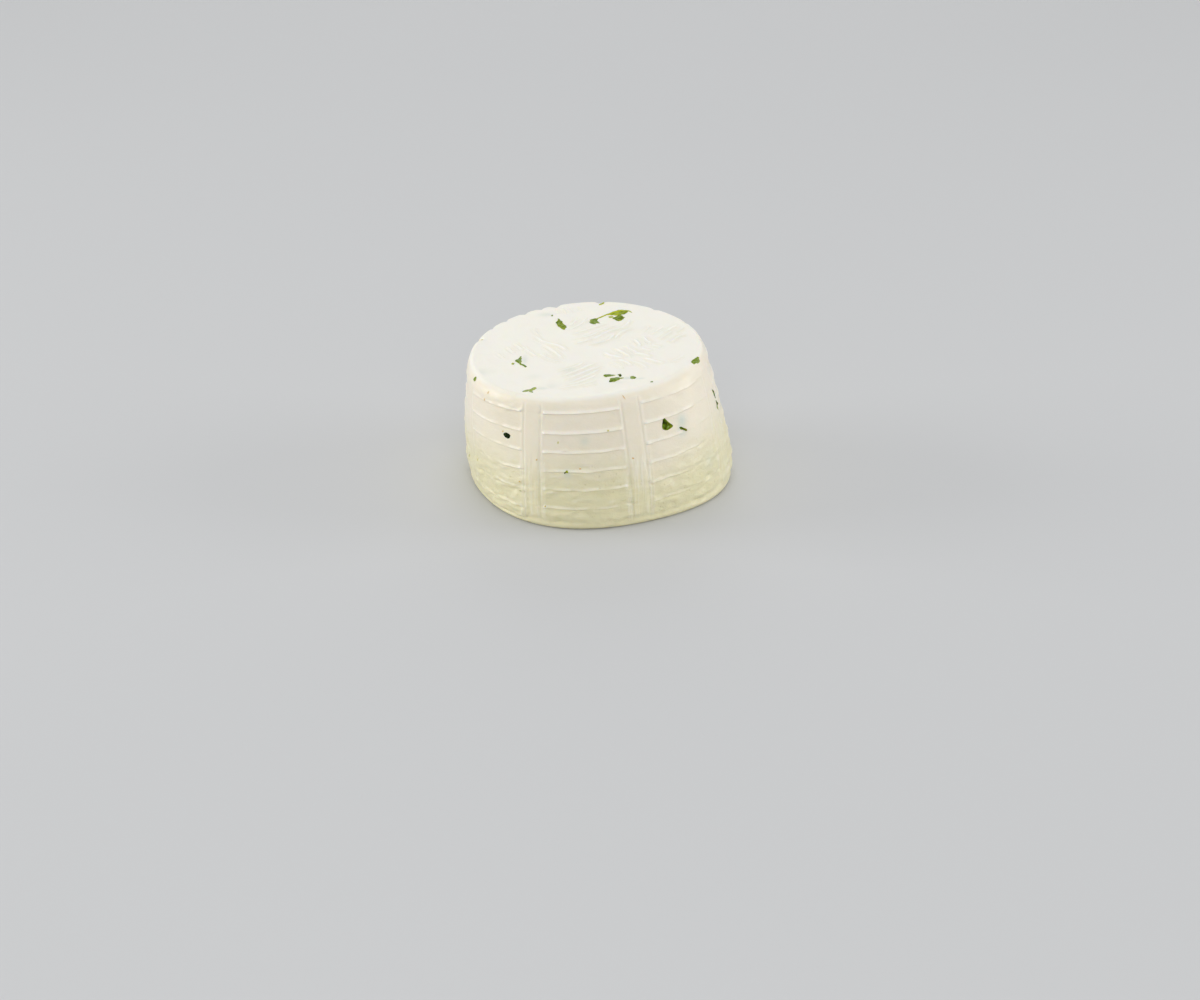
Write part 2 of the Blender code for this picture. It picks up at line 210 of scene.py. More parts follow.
# The woven mat on top: how clear each of its ridges is, and the way it runs
WEAVE_LINES = (
    (1, ((1, 1.6), (4, 2.6), (7, 4.6), (9.8, 9))), (0.9, ((-3.5, 3.2), (0, 4.6), (3, 6.6), (5.2, 9.6))),
    (0.9, ((2, 5), (4.2, 7.4), (6.2, 10.4), (9, 12.2), (14.6, 14.2))),
    (0.8, ((-4.4, 6.8), (1, 8.2), (4, 11), (7, 13.6), (11, 16.2))),
    (0.75, ((-4.6, 10.4), (0, 12.8), (4, 16), (8, 17.8))), (0.7, ((-5.2, 13.6), (-2, 17), (0, 20.8), (1, 24))),
    (0.6, ((-5.2, 17), (-3, 20.2), (-2.2, 24.4))), (0.85, ((9, 4.6), (10, 8), (12, 11), (15.4, 13.2))),
    (0.7, ((11, 12.6), (13, 15.6), (14.2, 19.4))), (1, ((5.6, -3.4), (8, -7), (12.4, -9.2))),
    (0.9, ((8.6, -0.8), (12, -5), (14.4, -9.4))), (0.75, ((11.8, 0.4), (15, -4), (17.2, -8))),
    (1, ((14.8, -5.6), (18, -7.4), (20.4, -9.8))), (0.9, ((17, -2.6), (18.6, -3.8), (21, -4.8))),
    (0.8, ((20, -0.4), (21.6, -1.4), (23.6, -2.6))), (0.9, ((9.6, -9.6), (13, -12.2), (14.6, -15.4))),
    (1, ((17.4, -9.6), (21, -12.4), (24.4, -14.8))), (0.8, ((14.8, 5.4), (16.4, 2.2), (17.2, -1.2))),
    (0.75, ((17.8, 6.4), (19.2, 2.6), (20.8, 0.4))), (0.75, ((13, -10.6), (17, -14), (19.4, -18.2))),
    (0.6, ((7.4, -10.8), (10, -13.4), (12, -17))),
    (1.1, ((-7.4, -19.8), (-3, -16.2), (0, -13.4), (4.4, -10.4))),
    (0.85, ((-8.4, -16.2), (-4, -13.2), (-1.2, -11.4), (0.4, -8.8))),
    (1.05, ((-6.4, -22.2), (-2, -18.6), (1.2, -15.6), (6.4, -13.2))),
    (0.95, ((-4.4, -23.8), (0, -20.2), (3, -17.2), (5.6, -15))),
    (0.85, ((-6.6, -26.2), (-1, -23.6), (2, -21), (4.6, -17.8))),
    (0.75, ((-8.4, -28.2), (-3, -26.6), (2, -24.2), (4.4, -21.8))),
    (0.6, ((-1, -27.4), (2, -26.2), (4.6, -24.8))),
    (0.85, ((-15.4, 13.6), (-14, 9), (-12, 6), (-8, 4), (-6, 1), (-4.8, -2.4))),
    (0.8, ((-13.2, 5.4), (-10, 1), (-8, -3), (-5.8, -7.2))),
    (0.7, ((-14.4, -0.6), (-12, -4), (-9.8, -7), (-6, -9.2))),
    (0.65, ((-19.4, 5.6), (-17, 1), (-13.8, -4.4))), (0.6, ((-21.4, 7.4), (-19.4, 3.6), (-18.4, 1.4))),
    (0.55, ((-15.6, 18), (-15.2, 15), (-13.6, 11.6))), (0.6, ((-23.6, 5.4), (-22.4, 2.4), (-20.8, -0.2))),
    (0.6, ((-11.4, -0.6), (-10, -3.4), (-8.6, -5.6))), (0.45, ((-26.4, 1.4), (-25.4, -1), (-23.8, -3.4))),
    (0.6, ((19.8, 6.8), (22, 9.4), (24.2, 12.4))), (0.75, ((22.6, 2.4), (25, 6), (27.2, 9.4))),
    (0.85, ((25.6, 0), (28, 4.2), (31.4, 6.8))), (0.65, ((23.8, 7.6), (26.8, 11.6), (29.2, 14.2))),
    (0.6, ((25.6, -14.4), (28, -12.2), (30.4, -8.8))), (0.6, ((28, 7.6), (30, 10.6), (31.2, 12.4))),
    (0.5, ((17.8, 8.8), (19.2, 11.2), (20.4, 13.8))), (0.4, ((-9.4, 31.4), (-8.6, 29.4), (-8.4, 27))),
    (0.45, ((-7, 31.8), (-6.4, 29.6), (-5.6, 26.8))), (0.45, ((-4.6, 32), (-4, 29.8), (-3, 27.6))),
    (0.4, ((-2.2, 32.4), (-1.6, 30.4), (-0.8, 28.4))),
)
WEAVE_WIDTH = 0.34
WEAVE_TWIN = 0.34
WEAVE_TWIN_PLACE = 1.15
WEAVE_STEPS = 12

# Blurred blue-green shades of herbs under the surface: place, half width and half height, strength
TOP_SHADES = (
    ((-12, 27.2), (2.2, 1.5), 0.6), ((-31.6, -12.5), (2.6, 2.6), 0.55), ((-4, -15), (2.2, 2.2), 0.3),
    ((-15, -18), (2, 2), 0.25), ((-9.5, -25.6), (1.8, 1.8), 0.35), ((10.3, 22.6), (2.8, 2.2), 0.35),
    ((12.9, -23.1), (1.5, 0.9), 0.8), ((-18, -5.6), (0.9, 3.2), 0.6), ((-12.6, -26.9), (1.9, 0.9), 0.55),
    ((8.2, -20.6), (2, 0.9), 0.45), ((9.8, -25.6), (2.6, 0.9), 0.35), ((16.8, -23.9), (1.3, 0.5), 0.6),
)
WALL_SHADES = (
    ((46.9, 28.3), (1.9, 2.2), 1), ((44.6, 26.7), (0.9, 1.2), 0.75), ((46.2, 24.6), (1.8, 1.2), 0.6),
    ((-1.4, 28.6), (1.5, 1.5), 0.55), ((61, 12.5), (3, 3), 0.3), ((-10.4, 18.4), (1.4, 1.6), 0.6),
    ((133, 24), (1.8, 1.8), 0.6), ((201, 14), (1.6, 1.6), 0.5), ((248, 31), (2, 2), 0.55),
)

# Where the wall's paler colour reaches lower, so that the yellower, darker foot with its painted shade stops
# lower: angle, reach round, how much lower as a share of the height
PALER_SIDE = (35, 15, 0.13)

# Darker, yellower patches of the wall, partly creamier curd and partly painted shade: place, half width and half
# height, strength
CREAM_AND_SHADE_PATCHES = (
    ((-38, 33), (9, 9), 0.75), ((-50, 38.5), (6, 3), 0.6), ((54, 38.5), (5, 2.5), 0.4), ((12, 31), (7, 5), 0.2),
    ((112, 30), (9, 7), 0.5), ((176, 33), (10, 6), 0.55), ((230, 26), (9, 8), 0.5),
)

# Cut herb leaf on top: how dark it is at its left and right end, from 0 pale to 1 nearly black, how yellow it
# is there, and its corners
TOP_BITS = (
    ((0.62, 0.5), (0.15, 0.45), ((-8.1, 23.9), (-7.6, 23.8), (-7, 21.8), (-6.2, 19.2), (-5.4, 17.8),
     (-5.6, 16.6), (-6.1, 14.9), (-7.3, 16.2), (-8.4, 18.9), (-8.9, 20.9), (-8.4, 22.2))),
    ((0.45, 0.45), (0.1, 0.1), ((-10.3, 26), (-10.1, 26.8), (-9.8, 26.8), (-9.7, 26.2), (-10, 25.7))),
    ((0.05, 0.05), (0.9, 1), ((4, 32.1), (5.1, 33.2), (6, 34.2), (6.3, 33.8), (5.8, 32.8), (5, 32))),
    ((0.36, 0.46), (0.25, 0.1), ((1.4, 20.1), (2, 21.6), (2.9, 22.2), (4, 22.3), (4.3, 20), (4.8, 18.2),
     (2.9, 17.8), (2.1, 18.7))),
    ((0.25, 0.7), (0.95, 0.35), ((6.8, 24), (7.6, 25.2), (8.8, 26.5), (10.4, 27.4), (11.7, 27.4), (12.6, 26.5),
     (13.5, 26.4), (13.1, 24.6), (12.4, 23.6), (11.4, 23.2), (8.8, 23.3))),
    ((0.05, 0.05), (0.95, 0.8), ((7.3, 23.1), (8.2, 23.5), (9.2, 22.9), (8.9, 21.9), (7.7, 21.7))),
    ((0.65, 0.55), (0.05, 0.45), ((8.7, 21.2), (9.6, 22.7), (10.2, 23.3), (11.6, 23), (12, 22), (12.6, 21.2),
     (12.2, 20.3), (11.3, 19.2), (10.3, 18.8), (9.6, 20))),
    ((0.58, 0.15), (0, 0.1), ((-20.8, -5.6), (-19.8, -3.3), (-19.4, -2.3), (-18.9, -2.3), (-18.8, -5.4),
     (-18.8, -7.6), (-19.2, -8.3), (-20, -7.1))),
    ((0.1, 0.85), (0.1, 0), ((-19.4, -7.4), (-18.6, -8.3), (-17.7, -9.1), (-17.1, -10.3), (-17.7, -10.9),
     (-18.6, -9.3), (-19.5, -8.4))),
    ((0.15, 0.2), (0.45, 0.45), ((-22, -7.6), (-21.5, -6.9), (-21, -7.3), (-21.1, -8.2), (-21.6, -8.3))),
    ((0.8, -0.1), (0.05, 0), ((5.8, -19.8), (6.6, -19.6), (7.9, -20), (9.4, -20.7), (9.3, -21.2), (8, -21.3),
     (6.5, -21.2), (6, -20.7))),
    ((0.8, 0.92), (0.05, 0), ((10, -20.2), (10.8, -19.8), (11.3, -20.8), (11, -22.1), (10.5, -22))),
    ((0.72, -0.05), (0.1, 0.05), ((7.6, -22.2), (9, -22.2), (10.8, -22.5), (12, -22.9), (11.2, -23.6),
     (10.4, -24.1), (9.2, -25), (8, -25.3), (7.4, -24.9), (7.7, -23.5))),
    ((0.22, 0.55), (0.25, 0.05), ((13.8, -22.3), (14.7, -21.9), (15.6, -23.2), (15.4, -24), (14.3, -23.9),
     (13.7, -23.3))),
    ((0.05, -0.1), (0, 0.55), ((-18.4, -27.9), (-17.6, -27.4), (-16.4, -27.2), (-15.4, -26.7), (-14.7, -25.7),
     (-14.2, -25.7), (-13.9, -26.5), (-14.4, -27.4), (-15.6, -28.1), (-16.8, -28.3), (-17.8, -28.3))),
    ((-0.1, -0.2), (0, 0), ((-16.4, -28), (-15.5, -28), (-14.9, -28.8), (-15.1, -29.3), (-15.8, -28.9))),
    ((0.35, 0.3), (0.1, 0.1), ((19.6, -26.7), (20.1, -26.2), (20.7, -26.2), (20.2, -26.8))),
    ((0.34, 0.38), (0.05, 0.3), ((31.9, -14.2), (32.7, -12.2), (33.3, -11.2), (33.9, -10.2), (34.5, -9.5),
     (34.9, -9.7), (34.8, -10.9), (34.3, -12.4), (33.5, -13.6), (32.8, -14.2))),
)

# Cut herb leaf in the wall: the same, with each corner as (angle, level)
WALL_BITS = (
    ((0.4, 0.4), (0.15, 0.15), ((-67.9, 39.5), (-67.5, 40.3), (-66.4, 40.5), (-65.3, 40.2), (-65.1, 39.6),
     (-66.2, 39.2))),
    ((1.1, 1.06), (0, 0), ((-40.6, 28), (-39.8, 28.5), (-38.7, 28.7), (-37.3, 28.5), (-36.5, 28.1),
     (-36.9, 27.4), (-37.8, 26.8), (-38.7, 27), (-39.8, 27.1), (-40.4, 27.5))),
    ((0.82, 0.73), (0, 0.3), ((37.2, 31.3), (38, 30.8), (39.3, 29.7), (41.6, 27.9), (40.6, 27.5), (39, 27.2),
     (37.4, 27.3), (35.8, 27.7), (35.4, 28.2), (36.1, 29.5), (36.7, 30.6))),
    ((0.85, 0.88), (0, 0.45), ((44.8, 26.9), (46, 26.7), (47.2, 26.1), (48.9, 25.2), (48.7, 24.8), (47.8, 25),
     (46.5, 25.6), (44.9, 26.2))),
    ((0.85, 0.6), (0, 0.75), ((-11.8, 18.8), (-11.1, 19.2), (-10.5, 19.7), (-10, 19.6), (-9.8, 18.8),
     (-10.4, 18.7), (-10.8, 18.9), (-11.5, 18.4))),
    ((0.8, 0.8), (0, 0), ((76.3, 30.2), (77.3, 29.8), (77.9, 28.6), (78.8, 26.9), (78, 26.9), (76.7, 28.3))),
    ((0.72, 0.6), (0, 0.2), ((77, 26.8), (78.2, 26.1), (78.7, 24.7), (77.9, 23.3), (77.1, 24.2))),
)

# Cut herb leaf in the wall, out of the front view: place, length, width, way it points, how dark
MORE_WALL_BITS = (
    ((118, 21), 2.6, 1.8, 30, 0.75), ((147, 31.5), 3.6, 1.4, -50, 0.5), ((171, 15.5), 1.6, 1.2, 0, 0.85),
    ((188, 27), 3.2, 2.6, 75, 0.6), ((214, 34), 1.8, 1.2, 20, 0.4), ((236, 19.5), 2.4, 1, -20, 0.7),
    ((262, 29), 2.9, 2.2, 60, 0.55),
)

# Herb stalks on top: the way each runs, and how wide it is
TOP_STALKS = (
    (((3.4, 21.6), (5.4, 23.2), (6.9, 24.5), (9, 25.5), (11.4, 26.5), (13.4, 26.5), (14.8, 24.7)), 0.85),
)

# Specks as small as crumbs: place, length, width, way each points, and its tint, from 0 olive green over 0.5
# yellow to 1 orange
TOP_SPECKS = (((-31.3, 11.4), 1.2, 0.7, 60, 0.35),)
WALL_SPECKS = (
    ((-75.2, 11.2), 1.9, 1.1, 80, 0.1), ((-62.4, 13.7), 1.7, 1.2, 80, 0.45), ((-32.1, 14), 1.4, 1.1, 0, 0.72),
    ((-32.5, 10.7), 1.6, 0.7, 5, 0.05), ((-51.5, 39.1), 1.5, 0.9, 60, 0.78),
    ((-53.6, 36.4), 1.6, 0.9, 120, 0.82), ((-41, 28.7), 1.2, 0.8, 30, 0.8), ((19.6, 39.7), 2.2, 0.5, 120, 0.92),
    ((9.4, 31.2), 1, 0.8, 0, 0.45), ((-13.3, 28.2), 1.2, 0.8, 70, 0.5), ((-4.7, 20.1), 1.1, 0.8, 0, 0.9),
    ((19, 21.6), 1.3, 0.9, 150, 0.84), ((-20.9, 7.4), 1.3, 0.8, 0, 0.65), ((-23.3, 22.3), 1, 0.7, 40, 0.8),
    ((104, 12), 1.3, 0.8, 20, 0.35), ((128, 36), 1.1, 0.7, 70, 0.7), ((160, 24.5), 1.2, 0.8, 140, 0.3),
    ((196, 36), 1.1, 0.6, 100, 0.85), ((226, 9.5), 1.4, 0.9, 10, 0.25), ((244, 24), 1.1, 0.7, 50, 0.6),
    ((271, 16), 1.2, 0.7, 160, 0.9),
)

# How far the edge of a cut leaf wanders, as a share of the leaf's size, and how far its edge is sunk in the
# curd in places, as a share of how far it stands out
TOP_RAGGED = 0.042
WALL_RAGGED = 0.015
TOP_SUNK = 1.1
WALL_SUNK = 0.5
LEAF_SEED = 3
LEAF_POINTS = 40
LEAF_DEPTH = 0.5
STALK_STEPS = 24
STALK_SIDES = 10
STALK_DEPTH = 0.4
SPECK_SEED = 8
SPECK_POINTS = 12
SPECK_OUT = 0.07
SPECK_DEPTH = 0.25

# The most that the curd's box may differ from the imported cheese's
MOST_STRAY = 1.5

FLOOR_HALF = 3.0
FLOOR_DROP = 0.05

# The lights: place in metres, size, and the setting that holds the power
LIGHTS = (
    ("light_above", (0.0, 0.10, 0.95), 0.6, "top_light"),
    ("light_back", (0.0, 0.95, 0.50), 0.6, "back_light"),
    ("light_left", (-0.95, 0.05, 0.24), 0.5, "left_light"),
    ("light_right", (0.95, 0.05, 0.24), 0.5, "right_light"),
    ("light_front", (0.0, -0.95, 0.55), 0.6, "front_light"),
)
ROOM_COLOUR = (0.98, 0.99, 1.0, 1.0)

CAMERA_DISTANCE = 1.10
CAMERA_ELEVATION = 24.9
CAMERA_LENS = 107.25
PICTURE_WIDTH = 1200
PICTURE_MIDDLE = (600.0, 500.0)
BASE_IN_PICTURE = (598.0, 472.8)


# ---------------------------------------------------------------- settings


def a_length(name, description, millimetres):
    """A setting that is a length."""
    return FloatProperty(name=name, description=description, default=millimetres * MM, unit="LENGTH")


def a_power(name, description, watts):
    """A setting that is a light's power."""
    return FloatProperty(name=name, description=description, default=watts, unit="POWER")


def a_colour(name, description, *parts):
    """A setting that is a colour."""
    return FloatVectorProperty(name=name, description=description, subtype="COLOR", size=4, default=(*parts, 1.0))


class CurdSettings(PropertyGroup):
    """Sizes and colours of the curd."""

    columns: IntProperty(name="Columns", description="Steps round the wall", default=416, min=80)
    rows: IntProperty(name="Rows", description="Steps up the wall", default=116, min=30)
    ridge_out: a_length("Ridges", "How far the level ridges stand out", 0.56)
    bar_out: a_length("Bars", "How far the upright bars stand out", 0.15)
    weave_height: a_length("Weave", "Height of the wavy ridges on top", 0.58)
    roughness_out: a_length("Curd grain", "Depth of the broken curd low on the wall", 0.42)
    top_colour: a_colour("Top", "Colour of the curd on top", 0.945, 0.906, 0.813)
    wall_colour: a_colour("Wall", "Colour of the curd up the wall", 0.90, 0.828, 0.685)
    # Painted highlight colour of the ridges, knobs and seams on the wall, also the colour of the bars' lighter
    # streaks
    highlight_and_streak_colour: a_colour("Ridges", "Colour of the ridges that the basket left", 0.97, 0.935, 0.85)
    # Painted highlight colour of the woven ridges on top
    weave_highlight_colour: a_colour("Weave", "Colour of the woven ridges on top", 1.0, 0.985, 0.93)
    # Painted shade colour of the sides of the woven ridges
    weave_flank_shade_colour: a_colour("Weave sides", "Colour of the sides of the woven ridges", 0.90, 0.84, 0.68)
    # Colour at the foot: partly the wetter curd's own yellow tint, partly painted shade and painted green
    # reflected light
    foot_tint_and_shade_colour: a_colour("Foot", "Colour of the wetter curd at the foot", 0.80, 0.752, 0.49)
    # Colour of the darker, yellower patches: partly creamier curd, partly painted shade
    cream_and_shade_colour: a_colour("Cream", "Colour of the creamier patches", 0.80, 0.737, 0.55)
    # Painted shade colour inside the smallest pits
    pit_shade_colour: a_colour("Pits", "Colour inside the smallest pits", 0.60, 0.50, 0.27)
    shade_colour: a_colour("Buried herbs", "Colour where a herb shows through", 0.60, 0.68, 0.61)


class HerbSettings(PropertyGroup):
    """Sizes and colours of the herb bits."""

    leaf_out: a_length("Leaf", "How far leaf bits stand out of the curd", 0.16)
    stalk_out: a_length("Stalk", "How far stalks stand out of the curd", 0.22)
    film_colour: a_colour("Buried leaf", "Colour of leaf that hardly shows through the curd", 0.60, 0.63, 0.42)
    pale_colour: a_colour("Sunken leaf", "Colour of leaf under a thin skin of curd", 0.30, 0.38, 0.13)
    leaf_colour: a_colour("Leaf", "Colour of the leaf bits", 0.12, 0.215, 0.010)
    dark_colour: a_colour("Dark leaf", "Colour of the darker leaf bits", 0.040, 0.090, 0.002)
    black_colour: a_colour("Darkest leaf", "Colour of the darkest leaf bit", 0.006, 0.014, 0.002)
    vein_colour: a_colour("Leaf middle", "Greyer colour inside a leaf bit", 0.20, 0.29, 0.10)
    edge_colour: a_colour("Cut edge", "Yellow-green of a cut edge", 0.50, 0.54, 0.008)
    olive_colour: a_colour("Olive specks", "Colour of the olive specks", 0.36, 0.40, 0.03)
    yellow_colour: a_colour("Yellow specks", "Colour of the yellow specks", 0.62, 0.58, 0.16)
    orange_colour: a_colour("Orange specks", "Colour of the orange specks", 0.74, 0.47, 0.16)
    skin_colour: a_colour("Speck edges", "Colour of the curd over the edges of a speck", 0.86, 0.80, 0.63)


class StageSettings(PropertyGroup):
    """The floor and the lights."""

    floor_colour: a_colour("Floor", "Colour of the floor", 0.62, 0.625, 0.63)
    room_light: FloatProperty(name="Room", description="Brightness of the light all round", default=0.53, min=0)
    top_light: a_power("Top light", "Power of the soft light overhead", 1.4)
    back_light: a_power("Back light", "Power of the low light behind", 1.1)
    left_light: a_power("Left light", "Power of the soft light on the left", 3.6)
    right_light: a_power("Right light", "Power of the soft light on the right", 2.9)
    front_light: a_power("Front light", "Power of the weak light in front", 2.5)


# ---------------------------------------------------------------- numbers


def ease(share):
    """A smooth step: 3 t squared minus 2 t cubed, for t held between 0 and 1."""
    held = np.clip(share, 0.0, 1.0)
    return held * held * (3.0 - 2.0 * held)


def hump(distance, width):
    """A bell: e to the minus (distance over width) squared."""
    return np.exp(-((distance / width) ** 2))


def crowding(distance, shape):
    """How much closer steps stand at a distance from somewhere: a bell of a height, place and width."""
    height, place, width = shape
    return height * hump(distance - place, width)


def packed(start, end, count, crowd):
    """Places from start to end in count steps, closer where crowd is high: its running sum, inverted."""
    fine = np.linspace(start, end, FINE_STEPS + 1)
    running = np.concatenate(([0.0], np.cumsum(crowd((fine[1:] + fine[:-1]) / 2))))
    return np.interp(np.linspace(0.0, running[-1], count + 1), running, fine)


def spaced(places, count, endpoint=True):
    """Points spaced evenly along the straight runs from place to place."""
    places = np.array(places, float)
    reached = np.concatenate(([0.0], np.cumsum(np.hypot(*np.diff(places, axis=0).T))))
    even = np.linspace(0.0, reached[-1], count, endpoint)
    return np.stack([np.interp(even, reached, axis) for axis in places.T], axis=-1)


def in_space(x, y, z):
    """Points from their three coordinates."""
    return np.stack(np.broadcast_arrays(x, y, z), axis=-1)


class Lumps:
    """Smooth random lumps in space: a lattice of seeded values from -1 to 1, blended by quintic steps."""

    SIDE = 32

    def __init__(self, seed):
        self.values = np.random.default_rng(seed).uniform(-1.0, 1.0, (self.SIDE,) * 3)

    def at(self, points, size):
        """The height at each point, for lumps of one size."""
        scaled = points / size
        cell = np.floor(scaled).astype(int)
        part = scaled - cell
        part = part**3 * (part * (part * 6.0 - 15.0) + 10.0)
        total = np.zeros(points.shape[:-1])
        for corner in np.ndindex(2, 2, 2):
            index = np.moveaxis((cell + corner) % self.SIDE, -1, 0)
            total += self.values[tuple(index)] * np.prod(np.where(corner, part, 1.0 - part), axis=-1)
        return total

    def folded(self, points, size, octaves=2):
        """Lumps of one size with finer, weaker ones on them: each octave is half as large and half as high."""
        return sum(self.at(points + 7.3 * step, size / 2**step) / 2**step for step in range(octaves))


RIDGE_LUMPS, GRAIN_LUMPS, TOP_LUMPS = Lumps(5), Lumps(23), Lumps(41)
BASE_LUMPS, EDGE_LUMPS, STRAND_LUMPS = Lumps(59), Lumps(61), Lumps(77)


# ---------------------------------------------------------------- the cheese's form


def rounding(distance, reach):
    """How far a quarter-round edge has drawn in: 1 minus the root of 1 less the square of what is left."""
    left = np.clip(1.0 - distance / reach, 0.0, 1.0)
    return 1.0 - np.sqrt(1.0 - left**2)


def lobes(angle, parts):
    """How far the outline stands out of round: a sum of cosines of the angle."""
    return sum(out * np.cos(count * np.radians(angle - first)) for count, out, first in parts)


def turned(angle, middle):
    """Degrees from a middle angle, between -180 and 180."""
    return (angle - middle + 180.0) % 360.0 - 180.0


def aside_from(angle, middle):
    """Millimetres round the wall from a middle angle, negative on its left."""
    return turned(angle, middle) / DEGREES_PER_MM


def rim_reach(angle):
    """How far in and down the rim's curve goes: its plain reach, and a bell more at each worn place."""
    inward, down = RIM_ROUND_IN, RIM_ROUND_DOWN
    for middle, width, more_in, more_down in SOFT_RIM:
        worn = hump(turned(angle, middle), width)
        inward = inward + more_in * worn
        down = down + more_down * worn
    return inward, down


def wall_radius(angle, level):
    """Belly radius less a power of the level, drawn in at foot and rim, plus lobes blended up the wall and a
    bell at each bulge."""
    share = level / HEIGHT
    radius = BELLY_RADIUS - TAPER * np.clip(share, 0.0, None) ** TAPER_POWER
    radius = radius - FOOT_ROUND_IN * rounding(level, FOOT_ROUND_UP)
    inward, down = rim_reach(angle)
    radius = radius - inward * rounding(HEIGHT - level, down)
    for middle, height, round_reach, up_reach, out in BULGES:
        radius = radius + out * hump(turned(angle, middle), round_reach) * hump(level - height, up_reach)
    return radius + (1.0 - share) * lobes(angle, FOOT_LOBES) + share * lobes(angle, TOP_LOBES)


def on_wall(angle, level, out):
    """Points on the wall, moved out from its axis. Lean and slope grow in step with the level."""
    share = level / HEIGHT
    radius = wall_radius(angle, level) + out
    across = radius * np.sin(np.radians(angle))
    back = -radius * np.cos(np.radians(angle))
    rise = share * (across * TOP_SLOPE[0] + back * TOP_SLOPE[1])
    return in_space(LEAN[0] * share + across, LEAN[1] * share + back, level + rise)


def on_top(x, y, up):
    """Points on the sloping top, moved up."""
    return in_space(LEAN[0] + x, LEAN[1] + y, HEIGHT + x * TOP_SLOPE[0] + y * TOP_SLOPE[1] + up)


# ---------------------------------------------------------------- marks on the wall


def nearest_bar(angle):
    """Which bar is nearest, and how many millimetres away its middle is, negative on its left."""
    turns = turned(angle[..., None], BAR_MIDDLES[:-1])
    nearest = np.argmin(np.abs(turns), axis=-1)
    return nearest, np.take_along_axis(turns, nearest[..., None], axis=-1)[..., 0] / DEGREES_PER_MM


def panel_and_share(angle):
    """Which panel an angle lies in, counted from the one right of the first bar, and how far across it."""
    wrapped = (angle - BAR_MIDDLES[0]) % 360.0 + BAR_MIDDLES[0]
    panel = np.clip(np.searchsorted(BAR_MIDDLES, wrapped, side="right") - 1, 0, BAR_COUNT - 1)
    return panel, (wrapped - BAR_MIDDLES[panel]) / (BAR_MIDDLES[panel + 1] - BAR_MIDDLES[panel])


def panel_value(angle, column):
    """A pair from PANELS, blended from a panel's left end to its right."""
    panel, share = panel_and_share(angle)
    left, right = np.array([row[column] for row in PANELS]).T
    return left[panel] + (right[panel] - left[panel]) * ease(share)


def bar_drift(angle, level):
    """Degrees that a place moves round the wall as the bars widen and lean. A bar's own width eases out across
    the panels beside it, and its lean is blended into the next bar's."""
    nearest, offset = nearest_bar(angle)
    wider, spread, lean = np.array(BAR_DRIFTS).T
    half = 180.0 / BAR_COUNT / DEGREES_PER_MM
    aside = np.abs(offset)
    share_out = np.where(aside < BEADING_PLACE, aside / BEADING_PLACE, (half - aside) / (half - BEADING_PLACE))
    share_out = np.sign(offset) * np.clip(share_out, 0.0, 1.0)
    panel, share = panel_and_share(angle)
    leaning = lean[panel] + (lean[(panel + 1) % BAR_COUNT] - lean[panel]) * share
    below_middle = 0.5 - level / HEIGHT
    wider_here = wider[nearest] + spread[nearest] * below_middle
    return DEGREES_PER_MM * (share_out * wider_here + leaning * below_middle)


def ridge_lift(angle, level):
    """How far a strand runs off its level: two waves round the cheese, and each panel's own slant."""
    wander = np.sin(np.radians(2 * angle) + 0.15 * level) + 0.6 * np.sin(np.radians(5 * angle))
    high = ease((level - RIDGE_LEVELS[0]) / (RIDGE_LEVELS[-1] - RIDGE_LEVELS[0]))
    slant = panel_value(angle, 1) * (1.0 - high) + panel_value(angle, 2) * high
    ends = np.sin(math.pi * np.clip(level / HEIGHT, 0.0, 1.0))
    off_bar = ease((np.abs(nearest_bar(angle)[1]) - 0.5 * BEADING_PLACE) / (0.5 * BEADING_PLACE))
    along = in_space(angle / DEGREES_PER_MM, 0.35 * level, 0.0)
    wobble = RIDGE_WOBBLE * (1.4 - high) * STRAND_LUMPS.folded(along, 3.5)
    inside = ease(level / 5.0) * ease((HEIGHT - level) / 2.5)
    return off_bar * (RIDGE_WANDER * wander * ends + (slant + wobble) * inside)


def ridge_section(rise):
    """A ridge's section by height over its crest: a straight slope above, then a steep underside that cuts
    in past the panel and comes back slowly."""
    above = np.clip(1.0 - rise / RIDGE_SLOPE, 0.0, 1.0) ** 1.15
    under = ease(-rise / RIDGE_UNDERSIDE)
    back = ease((-rise - RIDGE_UNDERSIDE) / UNDERCUT_REACH)
    return np.where(rise >= 0.0, above, (1.0 - under) - under * RIDGE_UNDERCUT * (1.0 - back))


def bar_section(offset, bar_out, worn):
    """A bar's section: a flat band, a groove along each edge, then a raised line that wears off."""
    aside = np.abs(offset)
    band = bar_out * (1.0 - ease((aside - BAR_HALF + 0.3) / 0.6))
    groove = GROOVE_DEPTH * hump(aside - BAR_HALF, GROOVE_WIDTH)
    beading = BEADING_OUT * hump(aside - BEADING_PLACE, BEADING_WIDTH)
    return band - groove + beading * worn


def ridge_strength(angle, crest, clearness):
    """How clear a ridge is along its way: its panel's own clearness, broken up by lumps along it."""
    clear = clearness * panel_value(angle, 0)
    broken = 1.0 + (1.12 - clear) * 1.8 * RIDGE_LUMPS.folded(in_space(angle * 0.7, crest, 0.0), 4.5, 3)
    return clear * np.clip(broken, 0.05, 1.25)


